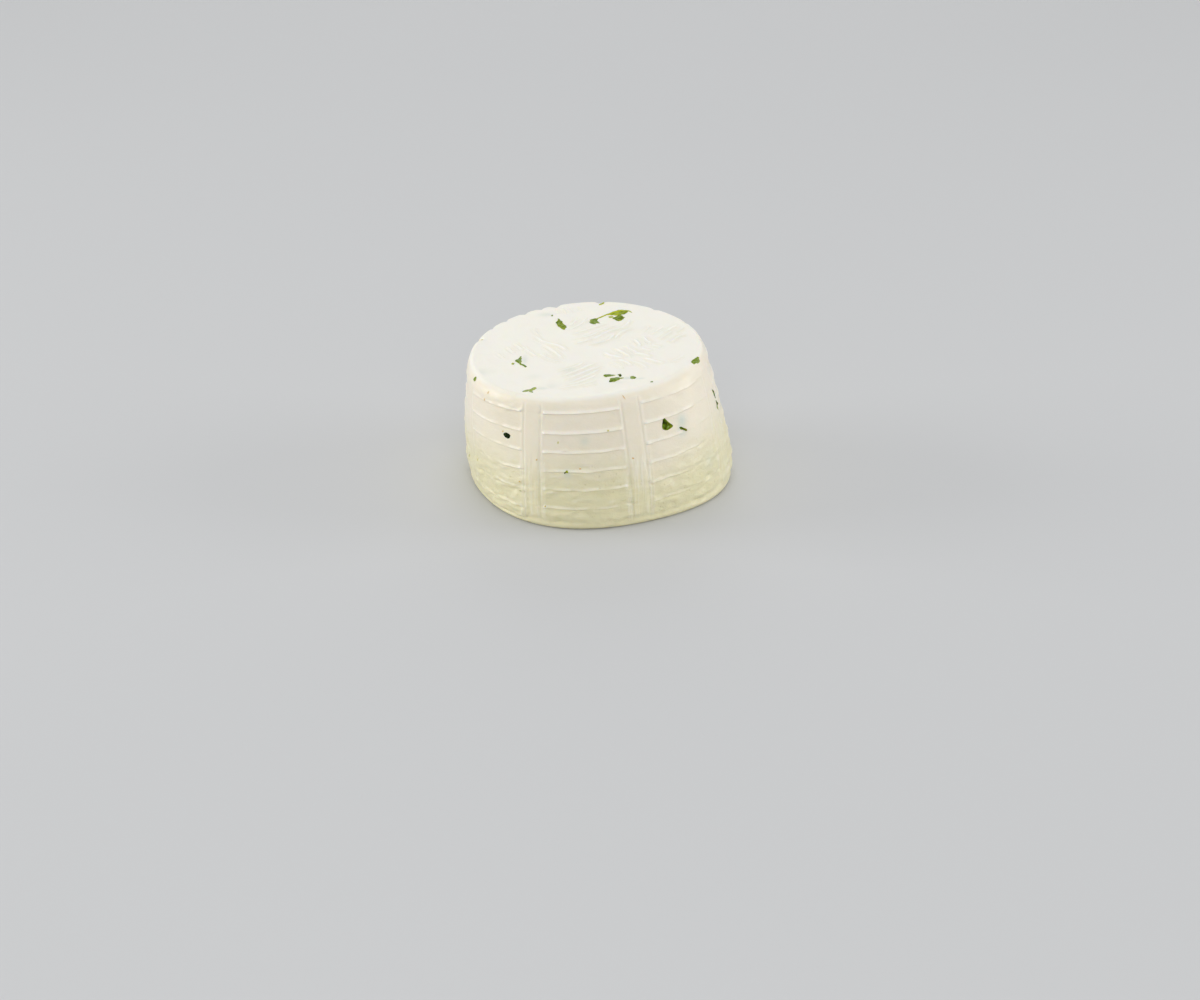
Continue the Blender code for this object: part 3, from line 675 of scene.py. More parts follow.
def wall_marks(angle, level, settings):
    """How far the basket's marks stand out of the wall, for a column's angle and a level before it is lifted,
    and how much painted highlight each place takes: on the upper slope of a ridge, which faces the light from
    above, on the bars' beading, on the knobs and on the seams."""
    nearest, offset = nearest_bar(angle)
    aside = np.abs(offset)
    clear_of_bar = ease((aside - PANEL_START + 0.35) / 0.5)
    ridges, knobs, painted_highlight = np.zeros((3, *angle.shape))
    for crest, clearness in zip(RIDGE_LEVELS, RIDGE_CLEARNESS):
        strength = ridge_strength(angle, crest, clearness)
        rise = level - crest
        ridges += np.where(np.abs(rise) < RIDGE_REACH, strength * ridge_section(rise), 0.0)
        # The upper slope of each ridge takes painted highlight, as if lit from above
        band = ease((rise + 0.12) / 0.20) * ease((RIDGE_SLOPE + 0.05 - rise) / 0.35)
        painted_highlight += band * np.clip(strength, 0.0, 1.0)
        knobs += KNOB_OUT * np.sqrt(strength) * hump(rise - 0.1, KNOB_WIDTH)
    at_end = hump(aside - PANEL_START, KNOB_WIDTH)
    out = settings.ridge_out / MM * clear_of_bar * ridges + at_end * knobs
    fade = ease((HEIGHT - 0.6 - level) / 2.0) * ease((level - 1.5) / 3.0) * np.array(BAR_CLEARNESS)[nearest]
    worn = 0.30 + 0.70 * ease((level - 14.0) / 16.0)
    out = out + fade * bar_section(offset, settings.bar_out / MM, worn)
    lines = sum(hump(offset - place, BAR_LINE_WIDTH) for place in BAR_LINES)
    out = out + fade * BAR_LINE_OUT * lines * ease((BAR_LINE_TOP - level) / 4.0)
    # Painted highlight on the beading along each bar, then on the knobs at the ridges' ends
    painted_highlight = clear_of_bar * painted_highlight + BEADING_PAINTED_HIGHLIGHT * fade * worn * hump(aside - BEADING_PLACE, 0.5)
    painted_highlight = np.clip(painted_highlight + at_end * knobs / KNOB_OUT, 0.0, 1.0)
    out = out - FOOT_GROOVE_DEPTH * hump(level - FOOT_GROOVE_LEVEL, FOOT_GROOVE_WIDTH)
    seams = wall_seams(angle, level)
    # The seams' raised parts take painted highlight too
    return out + scallops(angle, level) + seams, np.clip(painted_highlight + SEAM_PAINTED_HIGHLIGHT * seams, 0.0, 1.0)


def bar_streaks(angle, level):
    """How streaky each place is: the whole width of a bar, from the foot up to where its lines end."""
    nearest, offset = nearest_bar(angle)
    on_bar = (1.0 - ease((np.abs(offset) - PANEL_START) / 0.8)) * np.array(BAR_CLEARNESS)[nearest]
    return on_bar * ease((BAR_LINE_TOP - level) / 7.0) * ease((level - 1.0) / 4.0)


def wall_seams(angle, level):
    """How far the short seams stand out: a ridge's section that tapers to both its ends, a little wavy."""
    out = np.zeros(angle.shape)
    for (middle, height), half_length, seam_out in WALL_SEAMS:
        aside = aside_from(angle, middle)
        rise = level - height - 0.25 * np.sin(1.7 * aside + middle)
        above = np.clip(1.0 - rise / (2.2 * SEAM_SLOPE), 0.0, 1.0)
        under = 1.0 - 1.5 * ease(-rise / SEAM_SLOPE) * (1.0 - ease((-rise - SEAM_SLOPE) / 1.2))
        section = np.where(rise > 0.0, above, np.where(rise > -3.0, under * ease((rise + 3.0) / 2.0), 0.0))
        section = np.where(rise < -SEAM_SLOPE, np.minimum(section, 0.0), section)
        out += seam_out * section * ease(1.3 * (1.0 - np.abs(aside) / half_length))
    return out


def scallops(angle, level):
    """Fine scallops up one side: rows of rounded arches, from the size of a sine of the level."""
    middle, reach, spacing, scallop_out = SCALLOPS
    arches = np.abs(np.sin(math.pi * level / spacing)) ** 0.7 - 0.6
    inside = ease(level / 4.0) * ease((HEIGHT - level) / 3.0)
    return scallop_out * inside * hump(turned(angle, middle), reach) * arches


def curd_grain(angle, level, settings):
    """Unevenness of the curd: broad slumps all over, and a broken grain that grows towards the foot. Gives how
    far it stands out, and how rough each place is."""
    points = on_wall(angle, level, 0.0)
    broad = SLUMP_OUT * GRAIN_LUMPS.folded(points, SLUMP_SIZE)
    facing = ease((np.cos(np.radians(angle + 20.0)) + 0.6) / 1.2)
    rough = (0.18 + 0.82 * ease((24.0 - level) / 12.0)) * (0.45 + 0.55 * facing)
    rough = rough * (1.0 - 0.6 * (1.0 - ease((np.abs(nearest_bar(angle)[1]) - 2.0) / 1.5)))
    flattened = points * np.array((1.0, 1.0, GRAIN_FLATNESS))
    broken = GRAIN_LUMPS.folded(flattened, GRAIN_SIZE)
    ledges = ease((GRAIN_LUMPS.folded(flattened + 11.0, LEDGE_SIZE) + 0.07) / 0.14) - 0.5
    ledges = ledges * ease((18.0 - level) / 10.0)
    dug = np.clip(GRAIN_LUMPS.folded(flattened + 31.0, DUG_SIZE) - 0.35, 0.0, None)
    grain = settings.roughness_out / MM * rough * (0.60 * broken + 0.75 * ledges - 1.8 * dug)
    inside = ease((level - 0.2) / 2.0) * ease((HEIGHT - level + 0.5) / 1.5)
    return inside * (broad + grain - sum(wall_bells(angle, level, WALL_PITS))), rough


def wall_bells(angle, level, places):
    """An oval bell at each named place on the wall, as high as its last value says."""
    return [
        value * hump(np.hypot(aside_from(angle, middle) / half_width, (level - height) / half_height), 1.0)
        for (middle, height), (half_width, half_height), value in places
    ]


def top_bells(x, y, places):
    """The same at each named place on top."""
    return [
        value * hump(np.hypot((x - middle_x) / half_width, (y - middle_y) / half_height), 1.0)
        for (middle_x, middle_y), (half_width, half_height), value in places
    ]


def rim_chips(angle, level):
    """How deep the rim is chipped: a notch with straight sides at each named angle, fading down the wall."""
    depth = np.zeros(angle.shape)
    for middle, width, deep in RIM_CHIPS:
        notch = 1.2 * np.clip(1.0 - np.abs(aside_from(angle, middle)) / (0.85 * width), 0.0, 1.0)
        depth = depth + deep * notch * ease((level - HEIGHT + 2.6) / 2.4)
    return depth


# ---------------------------------------------------------------- marks on top


def weave_marks(x, y):
    """Height of the woven ridges, 0 to 1: a bell of the distance from each ridge's path, with a weaker twin on
    both sides, fading at its ends."""
    height = np.zeros_like(x)
    reach = WEAVE_TWIN_PLACE + 3 * WEAVE_WIDTH
    for clearness, places in WEAVE_LINES:
        path = smooth_path(places, WEAVE_STEPS)
        low, high = path.min(axis=0) - reach, path.max(axis=0) + reach
        near = (x > low[0]) & (x < high[0]) & (y > low[1]) & (y < high[1])
        start, step = path[:-1], np.diff(path, axis=0)
        reached = np.stack((x[near], y[near]), axis=-1)[:, None] - start
        share = np.clip((reached * step).sum(axis=-1) / (step * step).sum(axis=-1), 0.0, 1.0)
        away = np.hypot(*np.moveaxis(reached - share[..., None] * step, -1, 0))
        nearest = away.argmin(axis=-1)[:, None]
        along = (nearest + np.take_along_axis(share, nearest, axis=-1))[:, 0] / len(step)
        fade = ease(4.0 * np.minimum(along, 1.0 - along) + 0.1)
        away = away.min(axis=-1)
        section = hump(away, WEAVE_WIDTH) + WEAVE_TWIN * hump(away - WEAVE_TWIN_PLACE, WEAVE_WIDTH)
        height[near] = np.maximum(height[near], clearness * fade * section)
    return height


def top_marks(x, y, settings):
    """Height of the top over its plane, which is the weave and soft lumps and ends at the rim, and the weave
    alone from 0 to 1."""
    flat = in_space(x, y, 0.0)
    inside = ease((1.0 - np.hypot(x, y) / (BELLY_RADIUS - TAPER - RIM_ROUND_IN)) / 0.10)
    soft = 0.20 * TOP_LUMPS.folded(flat, 11.0) + 0.05 * TOP_LUMPS.folded(flat, 2.4)
    weave = inside * weave_marks(x, y)
    return settings.weave_height / MM * weave + inside * soft, weave


# ---------------------------------------------------------------- meshes


def new_piece(name, points, faces, material, traits):
    """A smooth mesh from points in millimetres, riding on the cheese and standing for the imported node."""
    data = bpy.data.meshes.new(name)
    data.from_pydata((points * MM).tolist(), [], faces)
    data.shade_smooth()
    for trait, values in traits.items():
        attribute = data.attributes.new(trait, "FLOAT", "POINT")
        attribute.data.foreach_set("value", np.asarray(values, np.float32))
    data.materials.append(material)
    if data.validate():
        raise RuntimeError(f"{name} has faulty faces")
    piece = bpy.data.objects.new(name, data)
    bpy.context.scene.collection.objects.link(piece)
    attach(piece, BODY)
    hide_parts(NODE)


def wall_columns(count):
    """Angles of the columns, crowded at the bars' edges."""
    angles = []
    for left, right in zip(BAR_MIDDLES, BAR_MIDDLES[1:]):
        span = (right - left) / DEGREES_PER_MM

        def crowd(at, span=span):
            return 1.0 + crowding(np.minimum(at, span - at), BAR_CROWDING)

        angles.append(left + packed(0.0, span, count // BAR_COUNT, crowd)[:-1] * DEGREES_PER_MM)
    return np.concatenate(angles)


def wall_levels(count):
    """Levels of the rows, crowded at the ridges, with the last few set by the turn of the rim's curve."""

    def crowd(at):
        at_ridges = sum(crowding(at - crest, RIDGE_CROWDING) for crest in RIDGE_LEVELS)
        return 1.0 + at_ridges + crowding(at, FOOT_CROWDING)

    rim_start = HEIGHT - RIM_ROUND_DOWN
    turn = np.linspace(0.0, math.pi / 2, RIM_ROWS + 1)[1:]
    return np.append(packed(0.0, rim_start, count - RIM_ROWS, crowd), rim_start + RIM_ROUND_DOWN * np.sin(turn))


def concentric(side):
    """A square grid mapped to a disc: square rings become round ones. Gives radius, turn from 0 to 1."""
    a, b = np.meshgrid(*[np.linspace(-1.0, 1.0, side + 1)] * 2, indexing="ij")
    wide = np.abs(a) > np.abs(b)
    radius = np.where(wide, a, b)
    with np.errstate(divide="ignore", invalid="ignore"):
        turn = np.where(wide, b / a / 8.0, 0.25 - a / b / 8.0)
    turn = np.where(radius < 0, turn + 0.5, turn)
    return np.abs(radius), np.nan_to_num(turn) % 1.0


def closed(rows):
    """A grid with its first column again at its end."""
    return np.concatenate((rows, rows[:, :1]), axis=1)


def quads(index):
    """The faces of a grid of point numbers, wound first down its first axis and then its second."""
    corners = (index[:-1, :-1], index[1:, :-1], index[1:, 1:], index[:-1, 1:])
    return np.stack(corners, axis=-1).reshape(-1, 4).tolist()


def fan(ring, tip):
    """Triangles from each step of a closed ring to one point."""
    return [(tip, int(here), int(there)) for here, there in zip(ring, ring[1:])]


def capped_faces(rings, sides):
    """Faces of a skin whose points are a tip, rings of points and another tip."""
    index = closed(1 + np.arange(rings * sides).reshape(rings, sides))
    return quads(index) + fan(index[0], 0) + fan(index[-1][::-1], rings * sides + 1)


def disc_inside(columns, first_angle, rim_angles, rim):
    """A disc that fills the rim, turning with its columns only near the edge: how far out each place is as a
    share, which column it is at, and its x and y."""
    radius, turn = concentric(columns // 2)
    at_column = turn * columns
    ring = np.arange(columns + 1)
    true_angle = np.interp(at_column, ring, np.append(rim_angles, rim_angles[0] + 360.0))
    even_angle = first_angle + 360.0 * turn
    angle = np.radians(even_angle + (true_angle - even_angle) * radius**3)
    reach = radius * np.interp(at_column, ring, np.append(rim, rim[0]))
    return radius, at_column, reach * np.sin(angle), -reach * np.cos(angle)


def rim_strip(outer, edge_columns, edge_index):
    """Faces from the wall's last ring to the disc's edge, which has two points for each column."""
    border = np.empty(2 * len(outer) - 2, int)
    border[np.rint(2 * edge_columns).astype(int) % len(border)] = edge_index
    border = np.append(border, border[0])
    first, between, last = border[:-2:2], border[1::2], border[2::2]
    strip = ((outer[:-1], between, first), (outer[:-1], outer[1:], between), (outer[1:], last, between))
    return [face for corners in strip for face in np.stack(corners, axis=-1).tolist()]


def base_rings(ring):
    """Rings that shrink from the wall's first one towards the middle of the base, slightly hollowed."""
    shrink = np.linspace(1.0, 0.0, BASE_RINGS + 1)[1:-1, None, None]
    rings = ring * np.concatenate((shrink, shrink, np.ones_like(shrink)), axis=2)
    hollow = BASE_HOLLOW * np.clip(BASE_LUMPS.folded(rings, 9.0), 0.0, None)
    rings[..., 2] += hollow * np.minimum(1.0, 3 * (1 - shrink[..., 0]))
    return rings


def curd_mesh(settings):
    """The whole curd as one closed skin: rows and columns up the wall, a disc on top and rings below. Gives
    points, faces and traits."""
    columns = settings.columns // BAR_COUNT * BAR_COUNT
    plain_level, plain_angle = np.meshgrid(wall_levels(settings.rows), wall_columns(columns), indexing="ij")
    angle = plain_angle + bar_drift(plain_angle, plain_level)
    level = plain_level + ridge_lift(plain_angle, plain_level)
    out, crest = wall_marks(plain_angle, plain_level, settings)
    grain, rough = curd_grain(angle, level, settings)
    out = out + grain - rim_chips(angle, level)
    wall = on_wall(angle, level, out)
    rim = wall_radius(angle[-1], HEIGHT) + out[-1] - TOP_MARGIN
    radius, at_column, x, y = disc_inside(columns, plain_angle[0, 0], angle[-1], rim)
    up, weave = top_marks(x, y, settings)
    base = base_rings(wall[0])
    points = [part.reshape(-1, 3) for part in (wall, on_top(x, y, up), base, np.zeros(3))]

    wall_index = np.arange(angle.size).reshape(angle.shape)
    top_index = angle.size + np.arange(x.size).reshape(x.shape)
    base_index = angle.size + x.size + np.arange(base[..., 0].size).reshape(-1, columns)
    middle = int(base_index[-1, -1]) + 1
    base_index = closed(np.concatenate((wall_index[:1], base_index)))
    wall_index = closed(wall_index)
    edge = radius > 1.0 - 1e-9
    faces = quads(wall_index.T) + quads(top_index) + quads(base_index.T[::-1])
    faces += rim_strip(wall_index[-1], at_column[edge], top_index[edge]) + fan(base_index[-1][::-1], middle)

    level_top, below = np.ones(x.shape), np.zeros(base[..., 0].size + 1)
    paler = PALER_SIDE[2] * hump(turned(angle, PALER_SIDE[0]), PALER_SIDE[1])
    shade = np.max(wall_bells(angle, level, WALL_SHADES), axis=0)
    top_shade = np.max(top_bells(x, y, TOP_SHADES), axis=0)
    traits = {
        "share": (level / HEIGHT + paler, level_top, below),
        "topside": (ease((level - HEIGHT + 1.4) / 1.2), level_top, below),
        "grainy": (rough, 0.12 * level_top, below + 0.6),
        # crest: where the painted highlight goes, on the wall's ridges, beading, knobs and seams and on the weave
        # on top
        "crest": (crest, weave, below),
        "streaky": (bar_streaks(plain_angle, plain_level), 0.0 * level_top, below),
        "shade": (shade, top_shade, below),
        "cream": (np.max(wall_bells(angle, level, CREAM_AND_SHADE_PATCHES), axis=0), 0.0 * level_top, below),
    }
    traits = {trait: np.concatenate([np.ravel(part) for part in parts]) for trait, parts in traits.items()}
    return np.concatenate(points), faces, traits


# ---------------------------------------------------------------- herb shapes


def smoothed(points):
    """Points averaged with their neighbours: a half of each and a quarter of the two beside it."""
    return 0.5 * points + 0.25 * (np.roll(points, 1, axis=0) + np.roll(points, -1, axis=0))


def smooth_path(places, count):
    """A path from place to place, averaged with its neighbours three times but for its ends."""
    path = spaced(places, count)
    for _ in range(3):
        path[1:-1] = smoothed(path)[1:-1]
    return path


def rounded_outline(corners, count, ragged, draw):
    """A closed outline through corners, moved about by fine and coarse jags and averaged once."""
    outline = spaced([*corners, corners[0]], count, endpoint=False)
    if ragged:
        size = math.sqrt(np.ptp(outline[:, 0]) * np.ptp(outline[:, 1]))
        jags = np.repeat(draw.uniform(-1.0, 1.0, (count // 4, 2)), 4, axis=0)
        outline += ragged * size * (draw.uniform(-1.0, 1.0, outline.shape) + jags)
    return smoothed(outline)


def cut_corners(length, width, way, draw):
    """Corners of a chopped bit: an ellipse with its corners drawn at uneven turns and reaches."""
    turns = np.sort(np.linspace(0.0, 2 * math.pi, 6)[:-1] + draw.uniform(-0.35, 0.35, 5))
    reach = draw.uniform(0.82, 1.15, 5)
    x = length / 2 * np.cos(turns) * reach
    y = width / 2 * np.sin(turns) * reach
    cosine, sine = math.cos(math.radians(way)), math.sin(math.radians(way))
    return np.stack((x * cosine - y * sine, x * sine + y * cosine), axis=-1)


def wound(outline):
    """The outline, turned to run anticlockwise."""
    x, y = outline.T
    area = np.sum(x * np.roll(y, -1) - y * np.roll(x, -1))
    return outline if area > 0 else outline[::-1]


def pillow(outline, out, depth, steps):
    """A bit's skin: rings shrink from the outline to its middle above and below. Gives flat places,
    heights, how near each is to the edge, and faces."""
    outline = wound(outline)
    middle = outline.mean(axis=0)
    shrink = np.sin(np.linspace(0.0, math.pi, 2 * steps + 1))[1:-1]
    upper = np.arange(2 * steps - 1) < steps - 0.5
    crown = np.where(upper, out * (1.0 - 0.55 * shrink**4), -depth * (1.0 - shrink**6))
    flat = middle + shrink[:, None, None] * (outline - middle)
    flat = np.concatenate(([middle], flat.reshape(-1, 2), [middle]))
    heights = np.concatenate(([out], np.repeat(crown, len(outline)), [-depth]))
    edge = np.concatenate(([0.0], np.repeat(np.where(upper, shrink, 1.0), len(outline)), [1.0]))
    return flat, heights, edge, capped_faces(len(shrink), len(outline))


def strand(places, width, out, depth):
    """A stalk's skin: an oval section carried along a path, thinning to a point at both its ends. Gives the
    same as a pillow."""
    path = smooth_path(places, STALK_STEPS)
    along = np.gradient(path, axis=0)
    along /= np.hypot(*along.T)[:, None]
    across = np.stack((-along[:, 1], along[:, 0]), axis=-1)
    run = np.linspace(0.0, 1.0, len(path))
    girth = np.clip(np.sin(math.pi * run), 0.0, 1.0) ** 0.35
    girth = girth * (1.0 + 0.16 * np.sin(11.0 * run + width))
    turn = np.linspace(0.0, 2 * math.pi, STALK_SIDES, endpoint=False)
    flat = path[:, None] + (girth[:, None] * width / 2 * np.cos(turn))[..., None] * across[:, None]
    lift = np.sin(turn)
    heights = np.where(lift > 0, out * lift, depth * lift) * girth[:, None]
    flat = np.concatenate((path[:1], flat[1:-1].reshape(-1, 2), path[-1:]))
    heights = np.concatenate(([0.0], heights[1:-1].ravel(), [0.0]))
    edge = np.concatenate(([1.0], np.tile(1.0 - np.clip(lift, 0, 1), len(path) - 2), [1.0]))
    return flat, heights, edge, capped_faces(len(path) - 2, STALK_SIDES)


def rim_fall(x, y, settings):
    """How far the skin has dropped below the top's plane at a place past the rim, from how far out the edge has
    come at each drop, read backwards, and how far it has turned over there, 0 to 1."""
    angle = np.degrees(np.arctan2(x, -y))
    past = np.hypot(x, y) - wall_radius(angle, HEIGHT)
    drops = np.linspace(0.0, RIM_DROP, RIM_DROP_STEPS + 1)
    round_angle, levels = np.meshgrid(angle, HEIGHT - drops, indexing="ij")
    grain = curd_grain(round_angle, levels, settings)[0]
    out = wall_radius(round_angle, levels) + grain - wall_radius(angle, HEIGHT)[:, None]
    out = np.maximum.accumulate(out + 0.001 * drops, axis=1)
    step = np.clip((out < past[:, None]).sum(axis=1), 1, RIM_DROP_STEPS)
    row = np.arange(len(x))
    before, after = out[row, step - 1], out[row, step]
    share = np.clip((past - before) / np.maximum(after - before, 0.001), 0.0, 1.0)
    return drops[step - 1] + drops[1] * share, np.clip(past / rim_reach(angle)[0], 0.0, 1.0)


def laid_on_top(flat, heights, settings):
    """Flat places and heights, laid on the marked top and, past its rim, down over the turn of the edge."""
    x, y = flat.T
    fall, over = rim_fall(x, y, settings)
    spread = 1.0 + heights * over / np.hypot(x, y)
    up = top_marks(x, y, settings)[0] + heights * np.sqrt(1.0 - 0.9 * over**2) - fall
    return on_top(x * spread, y * spread, up)


def laid_on_wall(flat, heights, settings):
    """Flat places, as millimetres round and up from the front, and heights, laid on the marked wall."""
    angle, level = flat[:, 0] * DEGREES_PER_MM, flat[:, 1]
    plain_angle = angle - bar_drift(angle, level)
    plain_level = level - ridge_lift(plain_angle, level)
    marks, grain = wall_marks(plain_angle, plain_level, settings)[0], curd_grain(angle, level, settings)[0]
    return on_wall(angle, level, marks + grain + heights)


def sunk(flat, edge):
    """How much deeper the edges of a bit lie in the curd, here and there: lumps, stronger towards the edge."""
    return edge * np.clip(EDGE_LUMPS.folded(in_space(*flat.T, 0.0), 1.3), 0.0, None)


def end_to_end(flat, values):
    """A value at each flat place, blended from a bit's left end to its right."""
    x = flat[:, 0]
    return np.interp(x, (x.min(), x.max()), values)


def around(places):
    """Places as (angle, level), turned to millimetres round and up from the front."""
    return np.array(places, float) / np.array((DEGREES_PER_MM, 1.0))


class Basketful:
    """Skins joined into one mesh, with one trait value for each point."""

    def __init__(self):
        self.points = []
        self.faces = []
        self.traits = {}
        self.count = 0

    def add(self, points, faces, **traits):
        """Add a skin."""
        self.points.append(points)
        self.faces += [tuple(corner + self.count for corner in face) for face in faces]
        for trait, values in traits.items():
            self.traits.setdefault(trait, []).append(np.broadcast_to(values, (len(points),)))
        self.count += len(points)

    def add_leaf(self, shapes, lay, ragged, sink, out, curd, draw):
        """Add cut leaf from its tones, how yellow it is and its corners, laid on the curd."""
        for tones, freshness, corners in shapes:
            outline = rounded_outline(corners, LEAF_POINTS, ragged, draw)
            flat, heights, edge, faces = pillow(outline, out, LEAF_DEPTH, steps=5)
            points = lay(flat, heights - sink * out * sunk(flat, edge), curd)
            self.add(points, faces, edge=edge, tone=end_to_end(flat, tones), fresh=end_to_end(flat, freshness))

    def add_specks(self, specks, locate, lay, curd, draw):
        """Add specks from their places, sizes, ways and tints, laid on the curd."""
        for place, length, width, way, tint in specks:
            corners = locate(place) + cut_corners(length, width, way, draw)
            outline = rounded_outline(corners, SPECK_POINTS, 0.0, draw)
            flat, heights, edge, faces = pillow(outline, SPECK_OUT, SPECK_DEPTH, steps=3)
            self.add(lay(flat, heights, curd), faces, edge=edge, tint=tint)

    def piece(self, name, material):
        """The joined mesh as a piece."""
        traits = {trait: np.concatenate(values) for trait, values in self.traits.items()}
        new_piece(name, np.concatenate(self.points), self.faces, material, traits)


# ---------------------------------------------------------------- materials


def arithmetic(operation, swapped=False):
    """A method for wires that adds a Math node, with its two values swapped if asked."""

    def method(self, other):
        values = (other, self) if swapped else (self, other)
        return self.recipe.add("ShaderNodeMath", {"operation": operation}, dict(enumerate(values)))

    return method


class Wire:
    """A socket's value in a material. Arithmetic on wires adds Math nodes."""

    def __init__(self, recipe, socket):
        self.recipe = recipe
        self.socket = socket

    __add__, __radd__ = arithmetic("ADD"), arithmetic("ADD", swapped=True)
    __sub__, __rsub__ = arithmetic("SUBTRACT"), arithmetic("SUBTRACT", swapped=True)
    __mul__, __rmul__ = arithmetic("MULTIPLY"), arithmetic("MULTIPLY", swapped=True)

    def size(self):
        """The value without its sign."""
        return self.recipe.add("ShaderNodeMath", {"operation": "ABSOLUTE"}, {0: self})

    def between(self, low, high):
        """0 below low, 1 above high, and a smooth step from one to the other."""
        limits = {0: self, 1: low, 2: high, 3: 0.0, 4: 1.0}
        return self.recipe.add("ShaderNodeMapRange", {"interpolation_type": "SMOOTHSTEP"}, limits)


class Recipe:
    """One material's nodes. Every node comes from add."""

    def __init__(self, name):
        self.material = bpy.data.materials.new(name)
        self.material.use_nodes = True
        self.tree = self.material.node_tree
        self.surface = self.tree.nodes["Principled BSDF"]

    def feed(self, socket, value):
        """Give a socket a wire or a plain value."""
        if isinstance(value, Wire):
            self.tree.links.new(value.socket, socket)
        else:
            socket.default_value = value

    def add(self, kind, settings=None, sockets=None, output=0):
        """Add a node: its settings first, then what its sockets take. Gives one of its outputs as a wire."""
        node = self.tree.nodes.new(kind)
        for setting, value in (settings or {}).items():
            setattr(node, setting, value)
        for socket, value in (sockets or {}).items():
            self.feed(node.inputs[socket], value)
        return Wire(self, node.outputs[output])

    def place(self):
        """Object coordinates."""
        return self.add("ShaderNodeTexCoord", output="Object")

    def trait(self, name):
        """A value that the mesh carries at each point."""
        return self.add("ShaderNodeAttribute", {"attribute_name": name}, output="Fac")

    def lumps(self, size, detail=2.0, roughness=0.5, flatten=1.0):
        """Noise with lumps of a size in millimetres, 0 to 1, which may be wider than they are tall."""
        place = self.place()
        if flatten != 1.0:
            values = {0: place, 1: (1.0, 1.0, flatten)}
            place = self.add("ShaderNodeVectorMath", {"operation": "MULTIPLY"}, values)
        sockets = {"Vector": place, "Scale": 1.0 / (size * MM), "Detail": detail, "Roughness": roughness}
        return self.add("ShaderNodeTexNoise", sockets=sockets)

    def cells(self, size):
        """Distance to the nearest of scattered points that lie about a size in millimetres apart."""
        return self.add("ShaderNodeTexVoronoi", sockets={"Vector": self.place(), "Scale": 1.0 / (size * MM)})

    def blend(self, share, first, second):
        """Two colours mixed by a share."""
        return self.add("ShaderNodeMix", {"data_type": "RGBA"}, {0: share, 6: first, 7: second}, output=2)

    def bump(self, height, depth):
        """A normal from a height, where 1 stands for a depth in millimetres."""
        return self.add("ShaderNodeBump", sockets={"Height": height, "Distance": depth * MM, "Strength": 1.0})

    def finish(self, **sockets):
        """Feed the surface's sockets, named with _ for a space."""
        for name, value in sockets.items():
            self.feed(self.surface.inputs[name.replace("_", " ")], value)
        return self.material


def curd_finish(settings):
    """Moist fresh curd: ivory, paler on top, yellower and darker at the foot, partly with painted shade; painted
    highlights on its ridges and weave, painted shade on the weave's sides and in pits; and light that sinks in.
    """
    recipe = Recipe("curd")
    topside, grainy, raised = recipe.trait("topside"), recipe.trait("grainy"), recipe.trait("crest")
    # Where the painted highlight goes, broken up by lumps
    crest = raised * (0.75 + 0.5 * recipe.lumps(2.2))
    patches = recipe.lumps(9.0)
    # Yellower and darker towards the foot: partly the curd's own tint, partly painted shade and painted green
    # reflected light
    low = (recipe.trait("share") + (patches - 0.5) * 0.22).between(0.25, 0.74)
    colour = recipe.blend(low, settings.foot_tint_and_shade_colour, settings.wall_colour)
    colour = recipe.blend(topside, colour, settings.top_colour)
    # Pale painted highlight, whiter on the weave on top
    highlight_and_streak_colour = recipe.blend(topside, settings.highlight_and_streak_colour, settings.weave_highlight_colour)
    colour = recipe.blend(crest * (0.60 + 0.30 * topside), colour, highlight_and_streak_colour)
    # Painted shade down the sides of the woven ridges on top
    flank_shade = raised.between(0.03, 0.20) - raised.between(0.30, 0.65)
    colour = recipe.blend(flank_shade * topside * 0.40, colour, settings.weave_flank_shade_colour)
    # Random creamier patches, and the listed patches of creamier curd and painted shade
    creamy_and_shaded = recipe.lumps(3.5, 3.0).between(0.42, 0.75)
    creamy_and_shaded = creamy_and_shaded * (0.16 - 0.11 * topside) + recipe.trait("cream") * (0.45 + 0.35 * patches)
    colour = recipe.blend(creamy_and_shaded, colour, settings.cream_and_shade_colour)
    patchy = recipe.lumps(5.0).between(0.45, 0.62)
    crack = 1.0 - (recipe.lumps(4.0, 1.0, flatten=4.0) - 0.5).size().between(0.0, 0.03)
    crack = crack * grainy * patchy * recipe.lumps(1.5, 1.0).between(0.45, 0.6)
    pits = 1.0 - recipe.cells(1.7).between(0.05, 0.30)
    pits = pits * grainy * recipe.lumps(4.0).between(0.52, 0.66)
    # The smallest pits take painted shade
    colour = recipe.blend(pits * 0.30, colour, settings.pit_shade_colour)
    colour = recipe.blend(recipe.trait("shade") * 0.70, colour, settings.shade_colour)
    streaks = recipe.trait("streaky") * recipe.lumps(0.75, flatten=0.045).between(0.35, 0.70)
    # The bars' streaks are lighter, in the same pale colour as the painted highlights
    colour = recipe.blend(streaks * 0.35, colour, settings.highlight_and_streak_colour)
    fine = recipe.lumps(0.45, 3.0, 0.6)
    broken = recipe.lumps(1.3, 3.0, 0.55, flatten=1.8)
    height = fine * (0.25 + 0.5 * grainy) + broken * (0.4 + 1.6 * grainy) - pits * 1.6 - crack * 0.7
    return recipe.finish(
        Base_Color=colour,
        Roughness=0.30 + 0.18 * recipe.lumps(2.4) + 0.08 * grainy + 0.22 * topside,
        Normal=recipe.bump(height + 0.9 * streaks, CURD_TEXTURE),
        Subsurface_Weight=0.40,
        Subsurface_Radius=GLOW_RADII,
        Subsurface_Scale=GLOW_REACH * MM,
        Coat_Weight=0.16 - 0.13 * topside,
        Coat_Roughness=0.28,
    )


def herb_skin(recipe, colour, texture):
    """Close the material of a herb: a matt, slightly uneven skin under a film of whey."""
    return recipe.finish(
        Base_Color=colour,
        Roughness=0.38 + 0.2 * recipe.lumps(0.8),
        Specular_IOR_Level=0.05,
        Normal=recipe.bump(recipe.lumps(texture), HERB_TEXTURE),
    )


